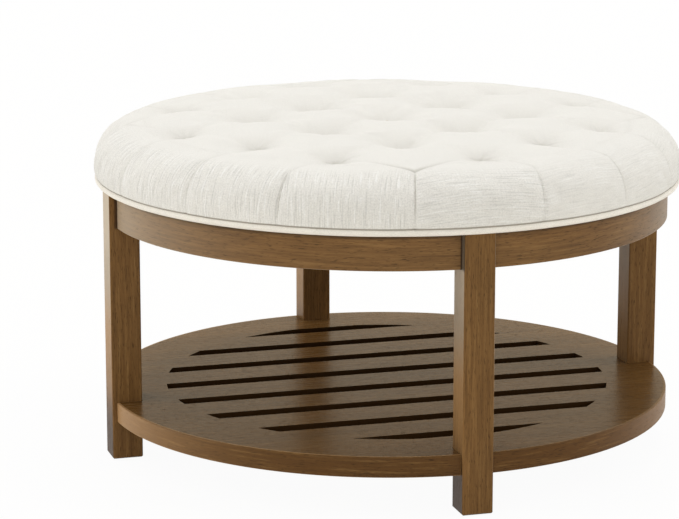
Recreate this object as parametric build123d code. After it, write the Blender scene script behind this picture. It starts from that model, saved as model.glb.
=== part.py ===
from build123d import *

import os
from math import acos, atan2, cos, degrees, hypot, radians, sin, sqrt

# A round upholstered table on four square legs. Millimetres, +Z up.
# The origin is on the floor below the centre. The legs stand on the X and Y axes.

# Whole object
TOTAL_HEIGHT = 469.9
CUSHION_RADIUS = 406.4
CUT_OVERRUN = 5.0

# Legs
LEG_WIDTH = 42.0
LEG_REACH = 400.0
LEG_EDGE_RADIUS = 2.0
LEG_FOOT_CHAMFER = 1.5
FRAME_HEIGHT = 375.0

# Foot glides
GLIDE_RADIUS = 11.0
GLIDE_THICKNESS = 1.5
GLIDE_NAIL_RADIUS = 1.2
GLIDE_NAIL_LENGTH = 14.0

# Apron rails
APRON_HEIGHT = 49.0
APRON_THICKNESS = 18.0
APRON_SETBACK = 10.0
APRON_EDGE_RADIUS = 1.2

# Dowels between the rails and the legs
DOWEL_RADIUS = 4.0
DOWEL_LENGTH = 34.0
DOWEL_LEG_BITE_SHARE = 1 / 3
DOWEL_HEIGHT_SHARES = (0.26, 0.76)

# Shelf
SHELF_TOP_HEIGHT = 82.0
SHELF_THICKNESS = 28.0
SHELF_SETBACK = 6.0
SHELF_BAND_THICKNESS = 3.0
SHELF_EDGE_RADIUS = 1.5
NOTCH_CLEARANCE = 0.5
SLOT_COUNT = 8
SLOT_WIDTH = 26.0
SLOT_PITCH = 84.0
SLOT_FIELD_RADIUS = 311.0

# Shelf brackets and small screws
BRACKET_WIDTH = 32.0
BRACKET_REACH = 28.0
BRACKET_DROP = 20.0
BRACKET_THICKNESS = 2.0
SMALL_SCREW_RADIUS = 1.75
SMALL_SCREW_LENGTH = 17.0
SMALL_HEAD_RADIUS = 3.4
SMALL_HEAD_HEIGHT = 2.0

# Corner blocks, their screws and the leg bolts
BLOCK_DEPTH = 34.0
BLOCK_HALF_WIDTH = 95.0
BLOCK_HEIGHT = 40.0
BLOCK_CLEARANCE = 0.2
BLOCK_SCREW_OFFSET = 58.0
DECK_SCREW_OFFSET = 78.0
SCREW_RADIUS = 2.2
SCREW_HEAD_RADIUS = 4.2
SCREW_HEAD_HEIGHT = 2.5
SCREW_RAIL_BITE_SHARE = 0.6
SCREW_DECK_BITE_SHARE = 0.7
BOLT_RADIUS = 4.0
BOLT_LEG_BITE = 26.0
BOLT_END = 3.0
WASHER_RADIUS = 9.0
WASHER_THICKNESS = 1.6
NUT_RADIUS = 7.0
NUT_THICKNESS = 6.5
HOLE_CLEARANCE = 0.1

# Seat deck, dust cover and the ties of the tufts
DECK_THICKNESS = 16.0
DECK_SETBACK = 3.0
DUST_COVER_THICKNESS = 0.8
TWINE_RADIUS = 1.0
TWINE_HOLE_RADIUS = 1.5
RETAINER_RADIUS = 6.0
RETAINER_THICKNESS = 3.0

# Piping and the flange it is sewn on
PIPING_RADIUS = 4.5
PIPING_SIDES = 24
FLANGE_THICKNESS = 1.0
FLANGE_MARGIN = 3.0

# Cushion: a crown, a two-arc shoulder and a side that is drawn in at its lower edge
COVER_THICKNESS = 1.6
SOFT_CLEARANCE = 0.3
CROWN_RISE = 17.0
CROWN_EDGE_RADIUS = 348.0
SHOULDER_LOW_RADIUS = 56.0
SHOULDER_LOW_TURN = 51.0
SIDE_DRAW = 2.0

# Tufts: a diamond grid, half a column and one row per step
TUFT_HALF_COLUMN = 95.1
TUFT_ROW = 94.5
TUFT_GRID_TURN = -11.7
TUFT_ROW_COUNTS = (2, 3, 4, 3, 4, 3, 2)
TUFT_HALF_WIDTH = 36.0
TUFT_DEPTH = 15.0
FOLD_HALF_WIDTH = 26.0
FOLD_DEPTH = 6.0
CUSP_LIFT = 1.7

# Pleats down the side: degrees round from the grid's front, and the tufts that feed each one.
# The list covers a quarter of the grid and is mirrored to the others.
PLEAT_FEEDS = (
    (0.0, ((-1, 3), (1, 3))),
    (25.5, ((1, 3),)),
    (45.0, ((2, 2),)),
    (65.5, ((3, 1),)),
    (90.0, ((3, 1), (3, -1))),
)
PLEAT_START_RADIUS = 358.0
PLEAT_JOIN_RADIUS = 364.0
PLEAT_HALF_WIDTH = 4.0
PLEAT_DEPTH = 3.5
PLEAT_OPENING = 1.5
FOLD_FADE = 2.5

# Places that follow from the sizes above
LEG_INNER = LEG_REACH - LEG_WIDTH
HALF_LEG = LEG_WIDTH / 2
APRON_RADIUS = LEG_REACH - APRON_SETBACK
APRON_INNER_RADIUS = APRON_RADIUS - APRON_THICKNESS
APRON_BOTTOM = FRAME_HEIGHT - APRON_HEIGHT
SHELF_RADIUS = LEG_REACH - SHELF_SETBACK
SHELF_BOARD_RADIUS = SHELF_RADIUS - SHELF_BAND_THICKNESS
SHELF_BOTTOM = SHELF_TOP_HEIGHT - SHELF_THICKNESS
NOTCH_HALF_WIDTH = HALF_LEG + NOTCH_CLEARANCE
DECK_BOTTOM = FRAME_HEIGHT + FLANGE_THICKNESS
DECK_TOP = DECK_BOTTOM + DECK_THICKNESS
DECK_RADIUS = CUSHION_RADIUS - 2 * PIPING_RADIUS - DECK_SETBACK
DUST_COVER_BOTTOM = DECK_BOTTOM - DUST_COVER_THICKNESS
BLOCK_TOP = DUST_COVER_BOTTOM
BLOCK_BOTTOM = BLOCK_TOP - BLOCK_HEIGHT
BLOCK_INNER = LEG_INNER - BLOCK_DEPTH
BLOCK_MIDDLE = (BLOCK_TOP + BLOCK_BOTTOM) / 2
PIPING_MIDDLE = FRAME_HEIGHT + SOFT_CLEARANCE + PIPING_RADIUS
COVER_RIM = PIPING_MIDDLE + PIPING_RADIUS + SOFT_CLEARANCE
FOAM_INSET = COVER_THICKNESS + SOFT_CLEARANCE
CUT_TOP = TOTAL_HEIGHT + CUT_OVERRUN

# The crown is one arc about the axis. The shoulder is two arcs tangent to it and to the side.
CROWN_RADIUS = (CROWN_EDGE_RADIUS**2 + CROWN_RISE**2) / (2 * CROWN_RISE)
CROWN_CENTRE_Z = TOTAL_HEIGHT - CROWN_RADIUS
CROWN_TURN = degrees(acos(CROWN_EDGE_RADIUS / CROWN_RADIUS))
LOW_CENTRE_X = CUSHION_RADIUS - SHOULDER_LOW_RADIUS
LOW_END_X = LOW_CENTRE_X + SHOULDER_LOW_RADIUS * cos(radians(SHOULDER_LOW_TURN))
TURN_WIDTH_SHARE = cos(radians(SHOULDER_LOW_TURN)) - cos(radians(CROWN_TURN))
SHOULDER_HIGH_RADIUS = (LOW_END_X - CROWN_EDGE_RADIUS) / TURN_WIDTH_SHARE
HIGH_CENTRE_X = CROWN_EDGE_RADIUS - SHOULDER_HIGH_RADIUS * cos(radians(CROWN_TURN))
HIGH_CENTRE_Z = TOTAL_HEIGHT - CROWN_RISE - SHOULDER_HIGH_RADIUS * sin(radians(CROWN_TURN))
LOW_END_Z = HIGH_CENTRE_Z + SHOULDER_HIGH_RADIUS * sin(radians(SHOULDER_LOW_TURN))
LOW_CENTRE_Z = LOW_END_Z - SHOULDER_LOW_RADIUS * sin(radians(SHOULDER_LOW_TURN))
SIDE_HEIGHT = LOW_CENTRE_Z - COVER_RIM
SIDE_RADIUS = (SIDE_HEIGHT**2 + SIDE_DRAW**2) / (2 * SIDE_DRAW)
SIDE_CENTRE_X = CUSHION_RADIUS - SIDE_RADIUS

LEG_SIDES = {"right": 0, "back": 90, "left": 180, "front": 270}
QUARTERS = {"back_right": 0, "back_left": 90, "front_left": 180, "front_right": 270}


def turned(shape, angle):
    """A piece that is modelled at the +X leg, moved round to another side."""
    return Rot(0, 0, angle) * shape


def bar(radius, length):
    """A round bar along +Z from the origin."""
    return Cylinder(radius, length, align=(Align.CENTER, Align.CENTER, Align.MIN))


def disc(radius, bottom, top):
    return Pos(0, 0, bottom) * bar(radius, top - bottom)


def block(x_range, y_range, z_range):
    """A box between the given limits."""
    size = [high - low for low, high in (x_range, y_range, z_range)]
    corner = Pos(x_range[0], y_range[0], z_range[0])
    return corner * Box(*size, align=(Align.MIN, Align.MIN, Align.MIN))


def along_x(x, y, z, radius, length):
    """A round bar along +X."""
    return Pos(x, y, z) * Rot(0, 90, 0) * bar(radius, length)


def screw(head_radius, head_height, shank_radius, shank_length):
    """A pan-head screw along +Z, with the underside of its head at the origin."""
    head = Pos(0, 0, -head_height) * bar(head_radius, head_height)
    return head + bar(shank_radius, shank_length)


def save(name, solids):
    shape = Compound(children=solids) if isinstance(solids, list) else solids
    export_step(shape, f"parts/{name}.step")


# Legs and glides

def dowel_place(share):
    """Where a dowel crosses the leg's side face: on the middle line of the rail."""
    middle = APRON_INNER_RADIUS + APRON_THICKNESS / 2
    x = sqrt(middle**2 - HALF_LEG**2)
    return x, APRON_BOTTOM + APRON_HEIGHT * share


def leg_dowels(clearance):
    """The four dowels in one leg, two to each side."""
    bite = LEG_WIDTH * DOWEL_LEG_BITE_SHARE
    dowels = []
    for share in DOWEL_HEIGHT_SHARES:
        x, z = dowel_place(share)
        for side in (1, -1):
            start = Pos(x, side * (HALF_LEG - bite - clearance), z)
            length = DOWEL_LENGTH + 2 * clearance
            dowels.append(start * Rot(-90 * side, 0, 0) * bar(DOWEL_RADIUS + clearance, length))
    return dowels


def leg_bolt(clearance):
    start = BLOCK_INNER - WASHER_THICKNESS - NUT_THICKNESS - BOLT_END
    length = LEG_INNER + BOLT_LEG_BITE + clearance - start
    return along_x(start, 0, BLOCK_MIDDLE, BOLT_RADIUS + clearance, length)


def glide(clearance):
    middle = LEG_REACH - HALF_LEG
    nail_top = GLIDE_THICKNESS + GLIDE_NAIL_LENGTH + clearance
    nail = disc(GLIDE_NAIL_RADIUS + clearance, 0, nail_top)
    return Pos(middle, 0, 0) * (disc(GLIDE_RADIUS, 0, GLIDE_THICKNESS) + nail)


def leg():
    body = block((LEG_INNER, LEG_REACH), (-HALF_LEG, HALF_LEG), (GLIDE_THICKNESS, FRAME_HEIGHT))
    body = fillet(body.edges().filter_by(Axis.Z), LEG_EDGE_RADIUS)
    body = chamfer(body.faces().sort_by(Axis.Z)[0].edges(), LEG_FOOT_CHAMFER)
    holes = leg_dowels(HOLE_CLEARANCE) + bracket_screws(HOLE_CLEARANCE)
    return body - holes - leg_bolt(HOLE_CLEARANCE) - glide(HOLE_CLEARANCE)


# Apron rails and corner blocks

def quarter_ring(outer, inner, bottom, top, end):
    """A quarter of a ring between two legs, cut square at the given distance from the axes."""
    ring = disc(outer, bottom, top) - disc(inner, bottom, top)
    reach = outer + CUT_OVERRUN
    return ring & block((end, reach), (end, reach), (bottom, top))


def curved_edges(shape, height):
    arcs = shape.edges().filter_by(GeomType.CIRCLE)
    return [edge for edge in arcs if abs(edge.center().Z - height) < CUT_OVERRUN]


def rail():
    body = quarter_ring(APRON_RADIUS, APRON_INNER_RADIUS, APRON_BOTTOM, FRAME_HEIGHT, HALF_LEG)
    body = fillet(curved_edges(body, APRON_BOTTOM), APRON_EDGE_RADIUS)
    for angle in (0, 90):
        holes = leg_dowels(HOLE_CLEARANCE) + block_screws(HOLE_CLEARANCE)
        body = body - [turned(hole, angle) for hole in holes]
    return body


def block_screws(clearance):
    """Two screws from the corner block out into the rails."""
    bite_radius = APRON_INNER_RADIUS + APRON_THICKNESS * SCREW_RAIL_BITE_SHARE
    tip = sqrt(bite_radius**2 - BLOCK_SCREW_OFFSET**2)
    place = Rot(0, 90, 0)
    shank = tip - BLOCK_INNER + clearance
    piece = place * screw(SCREW_HEAD_RADIUS, SCREW_HEAD_HEIGHT, SCREW_RADIUS + clearance, shank)
    return [Pos(BLOCK_INNER, y, BLOCK_MIDDLE) * piece for y in (-BLOCK_SCREW_OFFSET, BLOCK_SCREW_OFFSET)]


def deck_screws(clearance):
    """Two screws from the corner block up into the deck."""
    x = BLOCK_INNER + BLOCK_DEPTH / 2
    shank = DECK_BOTTOM + DECK_THICKNESS * SCREW_DECK_BITE_SHARE + clearance - BLOCK_BOTTOM
    piece = screw(SCREW_HEAD_RADIUS, SCREW_HEAD_HEIGHT, SCREW_RADIUS + clearance, shank)
    return [Pos(x, y, BLOCK_BOTTOM) * piece for y in (-DECK_SCREW_OFFSET, DECK_SCREW_OFFSET)]


def corner_block():
    heights = (BLOCK_BOTTOM, BLOCK_TOP)
    body = block((BLOCK_INNER, LEG_REACH), (-BLOCK_HALF_WIDTH, BLOCK_HALF_WIDTH), heights)
    body = body & disc(APRON_INNER_RADIUS - BLOCK_CLEARANCE, *heights)
    seat = HALF_LEG + BLOCK_CLEARANCE
    body = body - block((LEG_INNER, LEG_REACH), (-seat, seat), heights)
    return body - block_screws(HOLE_CLEARANCE) - deck_screws(HOLE_CLEARANCE) - leg_bolt(HOLE_CLEARANCE)


def bolt_washer():
    x = BLOCK_INNER - WASHER_THICKNESS
    ring = along_x(x, 0, BLOCK_MIDDLE, WASHER_RADIUS, WASHER_THICKNESS)
    return ring - leg_bolt(HOLE_CLEARANCE)


def bolt_nut():
    x = BLOCK_INNER - WASHER_THICKNESS - NUT_THICKNESS
    body = extrude(RegularPolygon(NUT_RADIUS, 6), amount=NUT_THICKNESS)
    return Pos(x, 0, BLOCK_MIDDLE) * Rot(0, 90, 0) * body - leg_bolt(HOLE_CLEARANCE)


# Shelf

def shelf_slots():
    """Straight parallel slots whose ends follow one circle."""
    heights = (SHELF_BOTTOM - CUT_OVERRUN, SHELF_TOP_HEIGHT + CUT_OVERRUN)
    field = disc(SLOT_FIELD_RADIUS, *heights)
    slots = []
    for number in range(SLOT_COUNT):
        y = (number - (SLOT_COUNT - 1) / 2) * SLOT_PITCH
        width = (y - SLOT_WIDTH / 2, y + SLOT_WIDTH / 2)
        slots.append(block((-SLOT_FIELD_RADIUS, SLOT_FIELD_RADIUS), width, heights) & field)
    return slots


def shelf_board():
    board = disc(SHELF_BOARD_RADIUS, SHELF_BOTTOM, SHELF_TOP_HEIGHT)
    heights = (SHELF_BOTTOM - CUT_OVERRUN, SHELF_TOP_HEIGHT + CUT_OVERRUN)
    x_range = (LEG_INNER - NOTCH_CLEARANCE, LEG_REACH)
    notch = block(x_range, (-NOTCH_HALF_WIDTH, NOTCH_HALF_WIDTH), heights)
    board = board - [turned(notch, angle) for angle in LEG_SIDES.values()] - shelf_slots()
    for angle in LEG_SIDES.values():
        board = board - [turned(hole, angle) for hole in shelf_screws(HOLE_CLEARANCE)]
    return board


def shelf_band():
    band = quarter_ring(
        SHELF_RADIUS, SHELF_BOARD_RADIUS, SHELF_BOTTOM, SHELF_TOP_HEIGHT, NOTCH_HALF_WIDTH
    )
    rims = curved_edges(band, SHELF_BOTTOM) + curved_edges(band, SHELF_TOP_HEIGHT)
    outer = [edge for edge in rims if edge.radius > SHELF_RADIUS - SHELF_BAND_THICKNESS / 2]
    return fillet(outer, SHELF_EDGE_RADIUS)


def bracket_screws(clearance):
    """One screw from the bracket into the leg."""
    z = SHELF_BOTTOM - BRACKET_THICKNESS - (BRACKET_DROP - BRACKET_THICKNESS) / 2
    shank = SMALL_SCREW_LENGTH + clearance
    piece = screw(SMALL_HEAD_RADIUS, SMALL_HEAD_HEIGHT, SMALL_SCREW_RADIUS + clearance, shank)
    return [Pos(LEG_INNER - BRACKET_THICKNESS, 0, z) * Rot(0, 90, 0) * piece]


def shelf_screws(clearance):
    """Two screws from the bracket up into the shelf."""
    x = LEG_INNER - BRACKET_THICKNESS - (BRACKET_REACH - BRACKET_THICKNESS) / 2
    shank = SMALL_SCREW_LENGTH + clearance
    piece = screw(SMALL_HEAD_RADIUS, SMALL_HEAD_HEIGHT, SMALL_SCREW_RADIUS + clearance, shank)
    z = SHELF_BOTTOM - BRACKET_THICKNESS
    return [Pos(x, y, z) * piece for y in (-BRACKET_WIDTH / 4, BRACKET_WIDTH / 4)]


def shelf_bracket():
    width = (-BRACKET_WIDTH / 2, BRACKET_WIDTH / 2)
    flange = block(
        (LEG_INNER - BRACKET_REACH, LEG_INNER), width, (SHELF_BOTTOM - BRACKET_THICKNESS, SHELF_BOTTOM)
    )
    plate = block(
        (LEG_INNER - BRACKET_THICKNESS, LEG_INNER), width, (SHELF_BOTTOM - BRACKET_DROP, SHELF_BOTTOM)
    )
    return flange + plate - bracket_screws(HOLE_CLEARANCE) - shelf_screws(HOLE_CLEARANCE)


# Cushion form

def on_arc(centre, radius, angle):
    return (centre[0] + radius * cos(radians(angle)), centre[1] + radius * sin(radians(angle)))


def side_angle(inset, height):
    rise = height - LOW_CENTRE_Z
    return degrees(atan2(rise, sqrt((SIDE_RADIUS - inset)**2 - rise**2)))


def profile_arcs(inset, bottom, start_angle):
    """The cushion's side from a point on the upper shoulder arc down to a height."""
    high = ((HIGH_CENTRE_X, HIGH_CENTRE_Z), SHOULDER_HIGH_RADIUS - inset, start_angle, SHOULDER_LOW_TURN)
    low = ((LOW_CENTRE_X, LOW_CENTRE_Z), SHOULDER_LOW_RADIUS - inset, SHOULDER_LOW_TURN, 0)
    side = ((SIDE_CENTRE_X, LOW_CENTRE_Z), SIDE_RADIUS - inset, 0, side_angle(inset, bottom))
    arcs = []
    for centre, radius, first, last in (high, low, side):
        points = [on_arc(centre, radius, angle) for angle in (first, (first + last) / 2, last)]
        arcs.append(ThreePointArc(*[(x, 0, z) for x, z in points]))
    return arcs


def surface_height(radius):
    """Height of the cushion's smooth top at a distance from the axis."""
    if radius <= CROWN_EDGE_RADIUS:
        return CROWN_CENTRE_Z + sqrt(CROWN_RADIUS**2 - radius**2)
    return HIGH_CENTRE_Z + sqrt(SHOULDER_HIGH_RADIUS**2 - (radius - HIGH_CENTRE_X)**2)


def smooth_form(inset, bottom):
    """The cushion without its tufts, drawn in all round by the inset."""
    arcs = profile_arcs(inset, bottom, CROWN_TURN)
    start = arcs[0] @ 0
    top = TOTAL_HEIGHT - inset
    middle_x = start.X / 2
    middle_z = CROWN_CENTRE_Z + sqrt((CROWN_RADIUS - inset)**2 - middle_x**2)
    crown = ThreePointArc((0, 0, top), (middle_x, 0, middle_z), start)
    end = arcs[-1] @ 1
    foot = Line(end, (0, 0, bottom))
    axis = Line((0, 0, bottom), (0, 0, top))
    return revolve(make_face([crown, *arcs, foot, axis]), Axis.Z, 360)


def grid_point(column, row):
    """Plan position of a grid point, in half columns and rows from the centre."""
    turn = radians(TUFT_GRID_TURN)
    across = column * TUFT_HALF_COLUMN
    down = row * TUFT_ROW
    return (across * cos(turn) + down * sin(turn), across * sin(turn) - down * cos(turn))


def tuft_cells():
    """Column and row of every tuft, row by row."""
    cells = []
    middle = (len(TUFT_ROW_COUNTS) - 1) / 2
    for number, count in enumerate(TUFT_ROW_COUNTS):
        cells += [(2 * place - count + 1, number - middle) for place in range(count)]
    return cells


def at_surface(x, y):
    return Vector(x, y, surface_height(hypot(x, y)))


def pleats():
    """The tufts that feed each pleat, by the pleat's angle from the grid's front."""
    found = {}
    for angle, feeds in PLEAT_FEEDS:
        for side in (1, -1):
            for end in (1, -1):
                mirrored = side * angle if end == 1 else 180 - side * angle
                found[mirrored % 360] = [(side * column, end * row) for column, row in feeds]
    return found


def pleat_bearing(angle):
    """Plan angle of a pleat from +X."""
    return TUFT_GRID_TURN - 90 + angle


def shoulder_point(angle, radius):
    bearing = radians(pleat_bearing(angle))
    return at_surface(radius * cos(bearing), radius * sin(bearing))


def folds():
    """Pairs of surface points that a fold joins: tuft to tuft, and outer tuft to pleat."""
    cells = tuft_cells()
    lines = []
    for column, row in cells:
        for side in (-1, 1):
            if (column + side, row + 1) in cells:
                ends = (grid_point(column, row), grid_point(column + side, row + 1))
                lines.append([at_surface(*end) for end in ends])
    for angle, feeds in pleats().items():
        radius = PLEAT_JOIN_RADIUS if len(feeds) > 1 else PLEAT_START_RADIUS + FOLD_DEPTH
        faded = shoulder_point(angle, radius) + Vector(0, 0, FOLD_FADE)
        lines += [(at_surface(*grid_point(*cell)), faded) for cell in feeds]
    return lines


def cusp(half_width, depth, inset):
    """Top height, lowest height and arc radius of a fold whose two sides are round."""
    drop = depth + CUSP_LIFT
    radius = (half_width**2 + drop**2) / (2 * drop)
    inner = radius - inset
    centre = CUSP_LIFT - radius
    return centre + inner, centre + sqrt(inner**2 - half_width**2), inner


def cusp_middle(half_width, top, radius):
    """A point half way along the round side of a fold."""
    angle = atan2(half_width, sqrt(radius**2 - half_width**2)) / 2
    return half_width - radius * sin(angle), top - radius + radius * cos(angle)


def fold_cutter(first, last, inset):
    top, lowest, radius = cusp(FOLD_HALF_WIDTH, FOLD_DEPTH, inset)
    middle_x, middle_z = cusp_middle(FOLD_HALF_WIDTH, top, radius)
    opening = CUT_TOP - first.Z + FOLD_HALF_WIDTH
    outline = [
        Line((-FOLD_HALF_WIDTH, top), (-FOLD_HALF_WIDTH, opening)),
        Line((-FOLD_HALF_WIDTH, opening), (FOLD_HALF_WIDTH, opening)),
        Line((FOLD_HALF_WIDTH, opening), (FOLD_HALF_WIDTH, top)),
        ThreePointArc((FOLD_HALF_WIDTH, top), (middle_x, middle_z), (0, lowest)),
        ThreePointArc((0, lowest), (-middle_x, middle_z), (-FOLD_HALF_WIDTH, top)),
    ]
    run = last - first
    sideways = Vector(0, 0, 1).cross(run)
    plane = Plane(origin=first, x_dir=sideways, z_dir=run)
    return extrude(plane * make_face(outline), amount=run.length + inset)


def tuft_cutter(place, inset):
    top, lowest, radius = cusp(TUFT_HALF_WIDTH, TUFT_DEPTH, inset)
    middle_x, middle_z = cusp_middle(TUFT_HALF_WIDTH, top, radius)
    opening = CUT_TOP - place.Z
    outline = [
        ThreePointArc((0, 0, lowest), (middle_x, 0, middle_z), (TUFT_HALF_WIDTH, 0, top)),
        Line((TUFT_HALF_WIDTH, 0, top), (TUFT_HALF_WIDTH, 0, opening)),
        Line((TUFT_HALF_WIDTH, 0, opening), (0, 0, opening)),
        Line((0, 0, opening), (0, 0, lowest)),
    ]
    return Pos(place) * revolve(make_face(outline), Axis.Z, 360)


def pleat_cutter(angle, inset):
    """A V that follows the side from the shoulder to below the rim."""
    half_angle = atan2(PLEAT_HALF_WIDTH, PLEAT_DEPTH)
    depth = PLEAT_DEPTH + inset / sin(half_angle)
    width = PLEAT_HALF_WIDTH * (depth + PLEAT_OPENING) / PLEAT_DEPTH
    reach = PLEAT_START_RADIUS - inset - HIGH_CENTRE_X
    start = degrees(acos(reach / SHOULDER_HIGH_RADIUS))
    path = Wire(profile_arcs(0, COVER_RIM - CUT_OVERRUN, start))
    plane = Plane(origin=path @ 0, x_dir=(0, 1, 0), z_dir=path % 0)
    corners = [(-width, PLEAT_OPENING), (0, -depth), (width, PLEAT_OPENING)]
    section = plane * make_face(Polyline(*corners, close=True))
    return turned(sweep(section, path=path), pleat_bearing(angle))


def tufted_form(inset, bottom):
    """The cushion with its tufts, folds and pleats, drawn in all round by the inset."""
    places = [at_surface(*grid_point(*cell)) for cell in tuft_cells()]
    body = smooth_form(inset, bottom) - [tuft_cutter(place, inset) for place in places]
    body = body - [fold_cutter(first, last, inset) for first, last in folds()]
    return body - [pleat_cutter(angle, inset) for angle in pleats()]


# Seat

def tuft_plan():
    return [grid_point(*cell) for cell in tuft_cells()]


def cushion_cover():
    return tufted_form(0, COVER_RIM) - tufted_form(COVER_THICKNESS, COVER_RIM - CUT_OVERRUN)


def seat_foam():
    body = tufted_form(FOAM_INSET, COVER_RIM + SOFT_CLEARANCE)
    body = body - disc(DECK_RADIUS + SOFT_CLEARANCE, DECK_BOTTOM, DECK_TOP)
    hole = disc(TWINE_HOLE_RADIUS, DECK_TOP, CUT_TOP)
    return body - [Pos(x, y, 0) * hole for x, y in tuft_plan()]


def seat_deck():
    body = disc(DECK_RADIUS, DECK_BOTTOM, DECK_TOP)
    for x, y in tuft_plan():
        pocket = disc(RETAINER_RADIUS + HOLE_CLEARANCE, DECK_BOTTOM, DECK_BOTTOM + RETAINER_THICKNESS)
        body = body - Pos(x, y, 0) * (pocket + disc(TWINE_HOLE_RADIUS, DECK_BOTTOM, DECK_TOP))
    for angle in LEG_SIDES.values():
        body = body - [turned(hole, angle) for hole in deck_screws(HOLE_CLEARANCE)]
    return body


def dust_cover():
    body = disc(APRON_INNER_RADIUS - SOFT_CLEARANCE, DUST_COVER_BOTTOM, DECK_BOTTOM)
    width = (-NOTCH_HALF_WIDTH, NOTCH_HALF_WIDTH)
    leg_space = block((LEG_INNER, LEG_REACH), width, (0, DECK_BOTTOM))
    for angle in LEG_SIDES.values():
        body = body - turned(leg_space, angle)
        body = body - [turned(hole, angle) for hole in deck_screws(HOLE_CLEARANCE)]
    return body


def tuft_twines():
    lowest = cusp(TUFT_HALF_WIDTH, TUFT_DEPTH, COVER_THICKNESS)[1]
    twines = []
    for x, y in tuft_plan():
        top = at_surface(x, y).Z + lowest - SOFT_CLEARANCE
        twines.append(Pos(x, y, 0) * disc(TWINE_RADIUS, DECK_BOTTOM + RETAINER_THICKNESS, top))
    return twines


def tuft_retainers():
    heights = (DECK_BOTTOM, DECK_BOTTOM + RETAINER_THICKNESS)
    return [Pos(x, y, 0) * disc(RETAINER_RADIUS, *heights) for x, y in tuft_plan()]


def piping():
    """The covered cord and its flange, which lies between the deck and the frame."""
    middle = CUSHION_RADIUS - PIPING_RADIUS
    section = RegularPolygon(PIPING_RADIUS, PIPING_SIDES)
    cord = revolve(Pos(middle, 0, PIPING_MIDDLE) * Rot(90, 0, 0) * section, Axis.Z, 360)
    flange = disc(middle - PIPING_RADIUS / 2, FRAME_HEIGHT, DECK_BOTTOM)
    flange = flange - disc(APRON_INNER_RADIUS + FLANGE_MARGIN, FRAME_HEIGHT, DECK_BOTTOM)
    return cord + flange


def write_parts():
    save("seat_deck", seat_deck())
    save("dust_cover", dust_cover())
    save("tuft_twines", tuft_twines())
    save("tuft_retainers", tuft_retainers())
    save("piping", piping())
    for name, angle in LEG_SIDES.items():
        save(f"leg_{name}", turned(leg(), angle))
        save(f"foot_glide_{name}", turned(glide(0), angle))
        save(f"corner_block_{name}", turned(corner_block(), angle))
        save(f"shelf_bracket_{name}", turned(shelf_bracket(), angle))
    for name, angle in QUARTERS.items():
        save(f"apron_{name}", turned(rail(), angle))
        save(f"shelf_band_{name}", turned(shelf_band(), angle))
    save("shelf_board", shelf_board())
    fasteners = {
        "rail_dowels": leg_dowels(0),
        "leg_bolts": [leg_bolt(0)],
        "leg_bolt_washers": [bolt_washer()],
        "leg_bolt_nuts": [bolt_nut()],
        "block_screws": block_screws(0),
        "deck_screws": deck_screws(0),
        "bracket_screws": bracket_screws(0),
        "shelf_screws": shelf_screws(0),
    }
    for name, solids in fasteners.items():
        save(name, [turned(solid, angle) for angle in LEG_SIDES.values() for solid in solids])
    save("cushion_cover", cushion_cover())
    save("seat_foam", seat_foam())


os.makedirs("parts", exist_ok=True)
write_parts()
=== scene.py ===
"""A round tufted ottoman with a slatted shelf: its looks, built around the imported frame.

Metres, +Z up, in the frame's own coordinates. The origin is on the floor below the centre.
"""

import math
import random

import bmesh
import bpy
import numpy as np
from bpy.props import FloatProperty, FloatVectorProperty, IntProperty, PointerProperty
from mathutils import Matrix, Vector
from mathutils.geometry import delaunay_2d_cdt
from mathutils.kdtree import KDTree


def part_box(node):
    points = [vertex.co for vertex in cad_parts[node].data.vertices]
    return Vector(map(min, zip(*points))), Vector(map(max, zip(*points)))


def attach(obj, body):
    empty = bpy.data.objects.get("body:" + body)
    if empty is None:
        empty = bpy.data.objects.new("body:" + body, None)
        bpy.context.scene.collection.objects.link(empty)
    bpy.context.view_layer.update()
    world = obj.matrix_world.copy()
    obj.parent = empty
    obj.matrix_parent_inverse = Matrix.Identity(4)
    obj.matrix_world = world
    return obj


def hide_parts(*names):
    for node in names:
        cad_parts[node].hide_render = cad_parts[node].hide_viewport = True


bl_info = {
    "name": "Tufted Ottoman",
    "version": (1, 0, 0),
    "blender": (4, 5, 0),
    "location": "3D View > Sidebar > Ottoman",
    "description": "Upholstery, wood finishes and a studio stage for a round tufted ottoman",
    "category": "Object",
}

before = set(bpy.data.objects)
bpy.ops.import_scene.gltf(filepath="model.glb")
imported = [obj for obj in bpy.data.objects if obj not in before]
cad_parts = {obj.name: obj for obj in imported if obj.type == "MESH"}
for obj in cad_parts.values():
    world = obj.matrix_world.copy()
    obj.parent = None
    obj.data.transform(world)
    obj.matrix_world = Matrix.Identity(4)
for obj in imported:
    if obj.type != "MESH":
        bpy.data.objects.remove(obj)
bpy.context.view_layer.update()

COVER_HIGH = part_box("cushion_cover")[1]
PIPING_LOW, PIPING_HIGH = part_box("piping")
DECK_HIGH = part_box("seat_deck")[1]
APRON_LOW, APRON_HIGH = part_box("apron_back_right")
HALF_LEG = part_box("leg_front")[1].x

MM = 0.001

# Tufts in each row of the diamond grid
TUFT_ROW_COUNTS = (2, 3, 4, 3, 4, 3, 2)

# Pleats of a quarter of the side: degrees from the grid's front, and the cells of the tufts that feed each
PLEAT_FEEDS = (
    (0.0, ((-1, 3), (1, 3))),
    (25.0, ((1, 3),)),
    (45.0, ((2, 2),)),
    (65.5, ((3, 1),)),
    (90.0, ((3, 1), (3, -1))),
)


# Sizes and colours that a user would change


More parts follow.
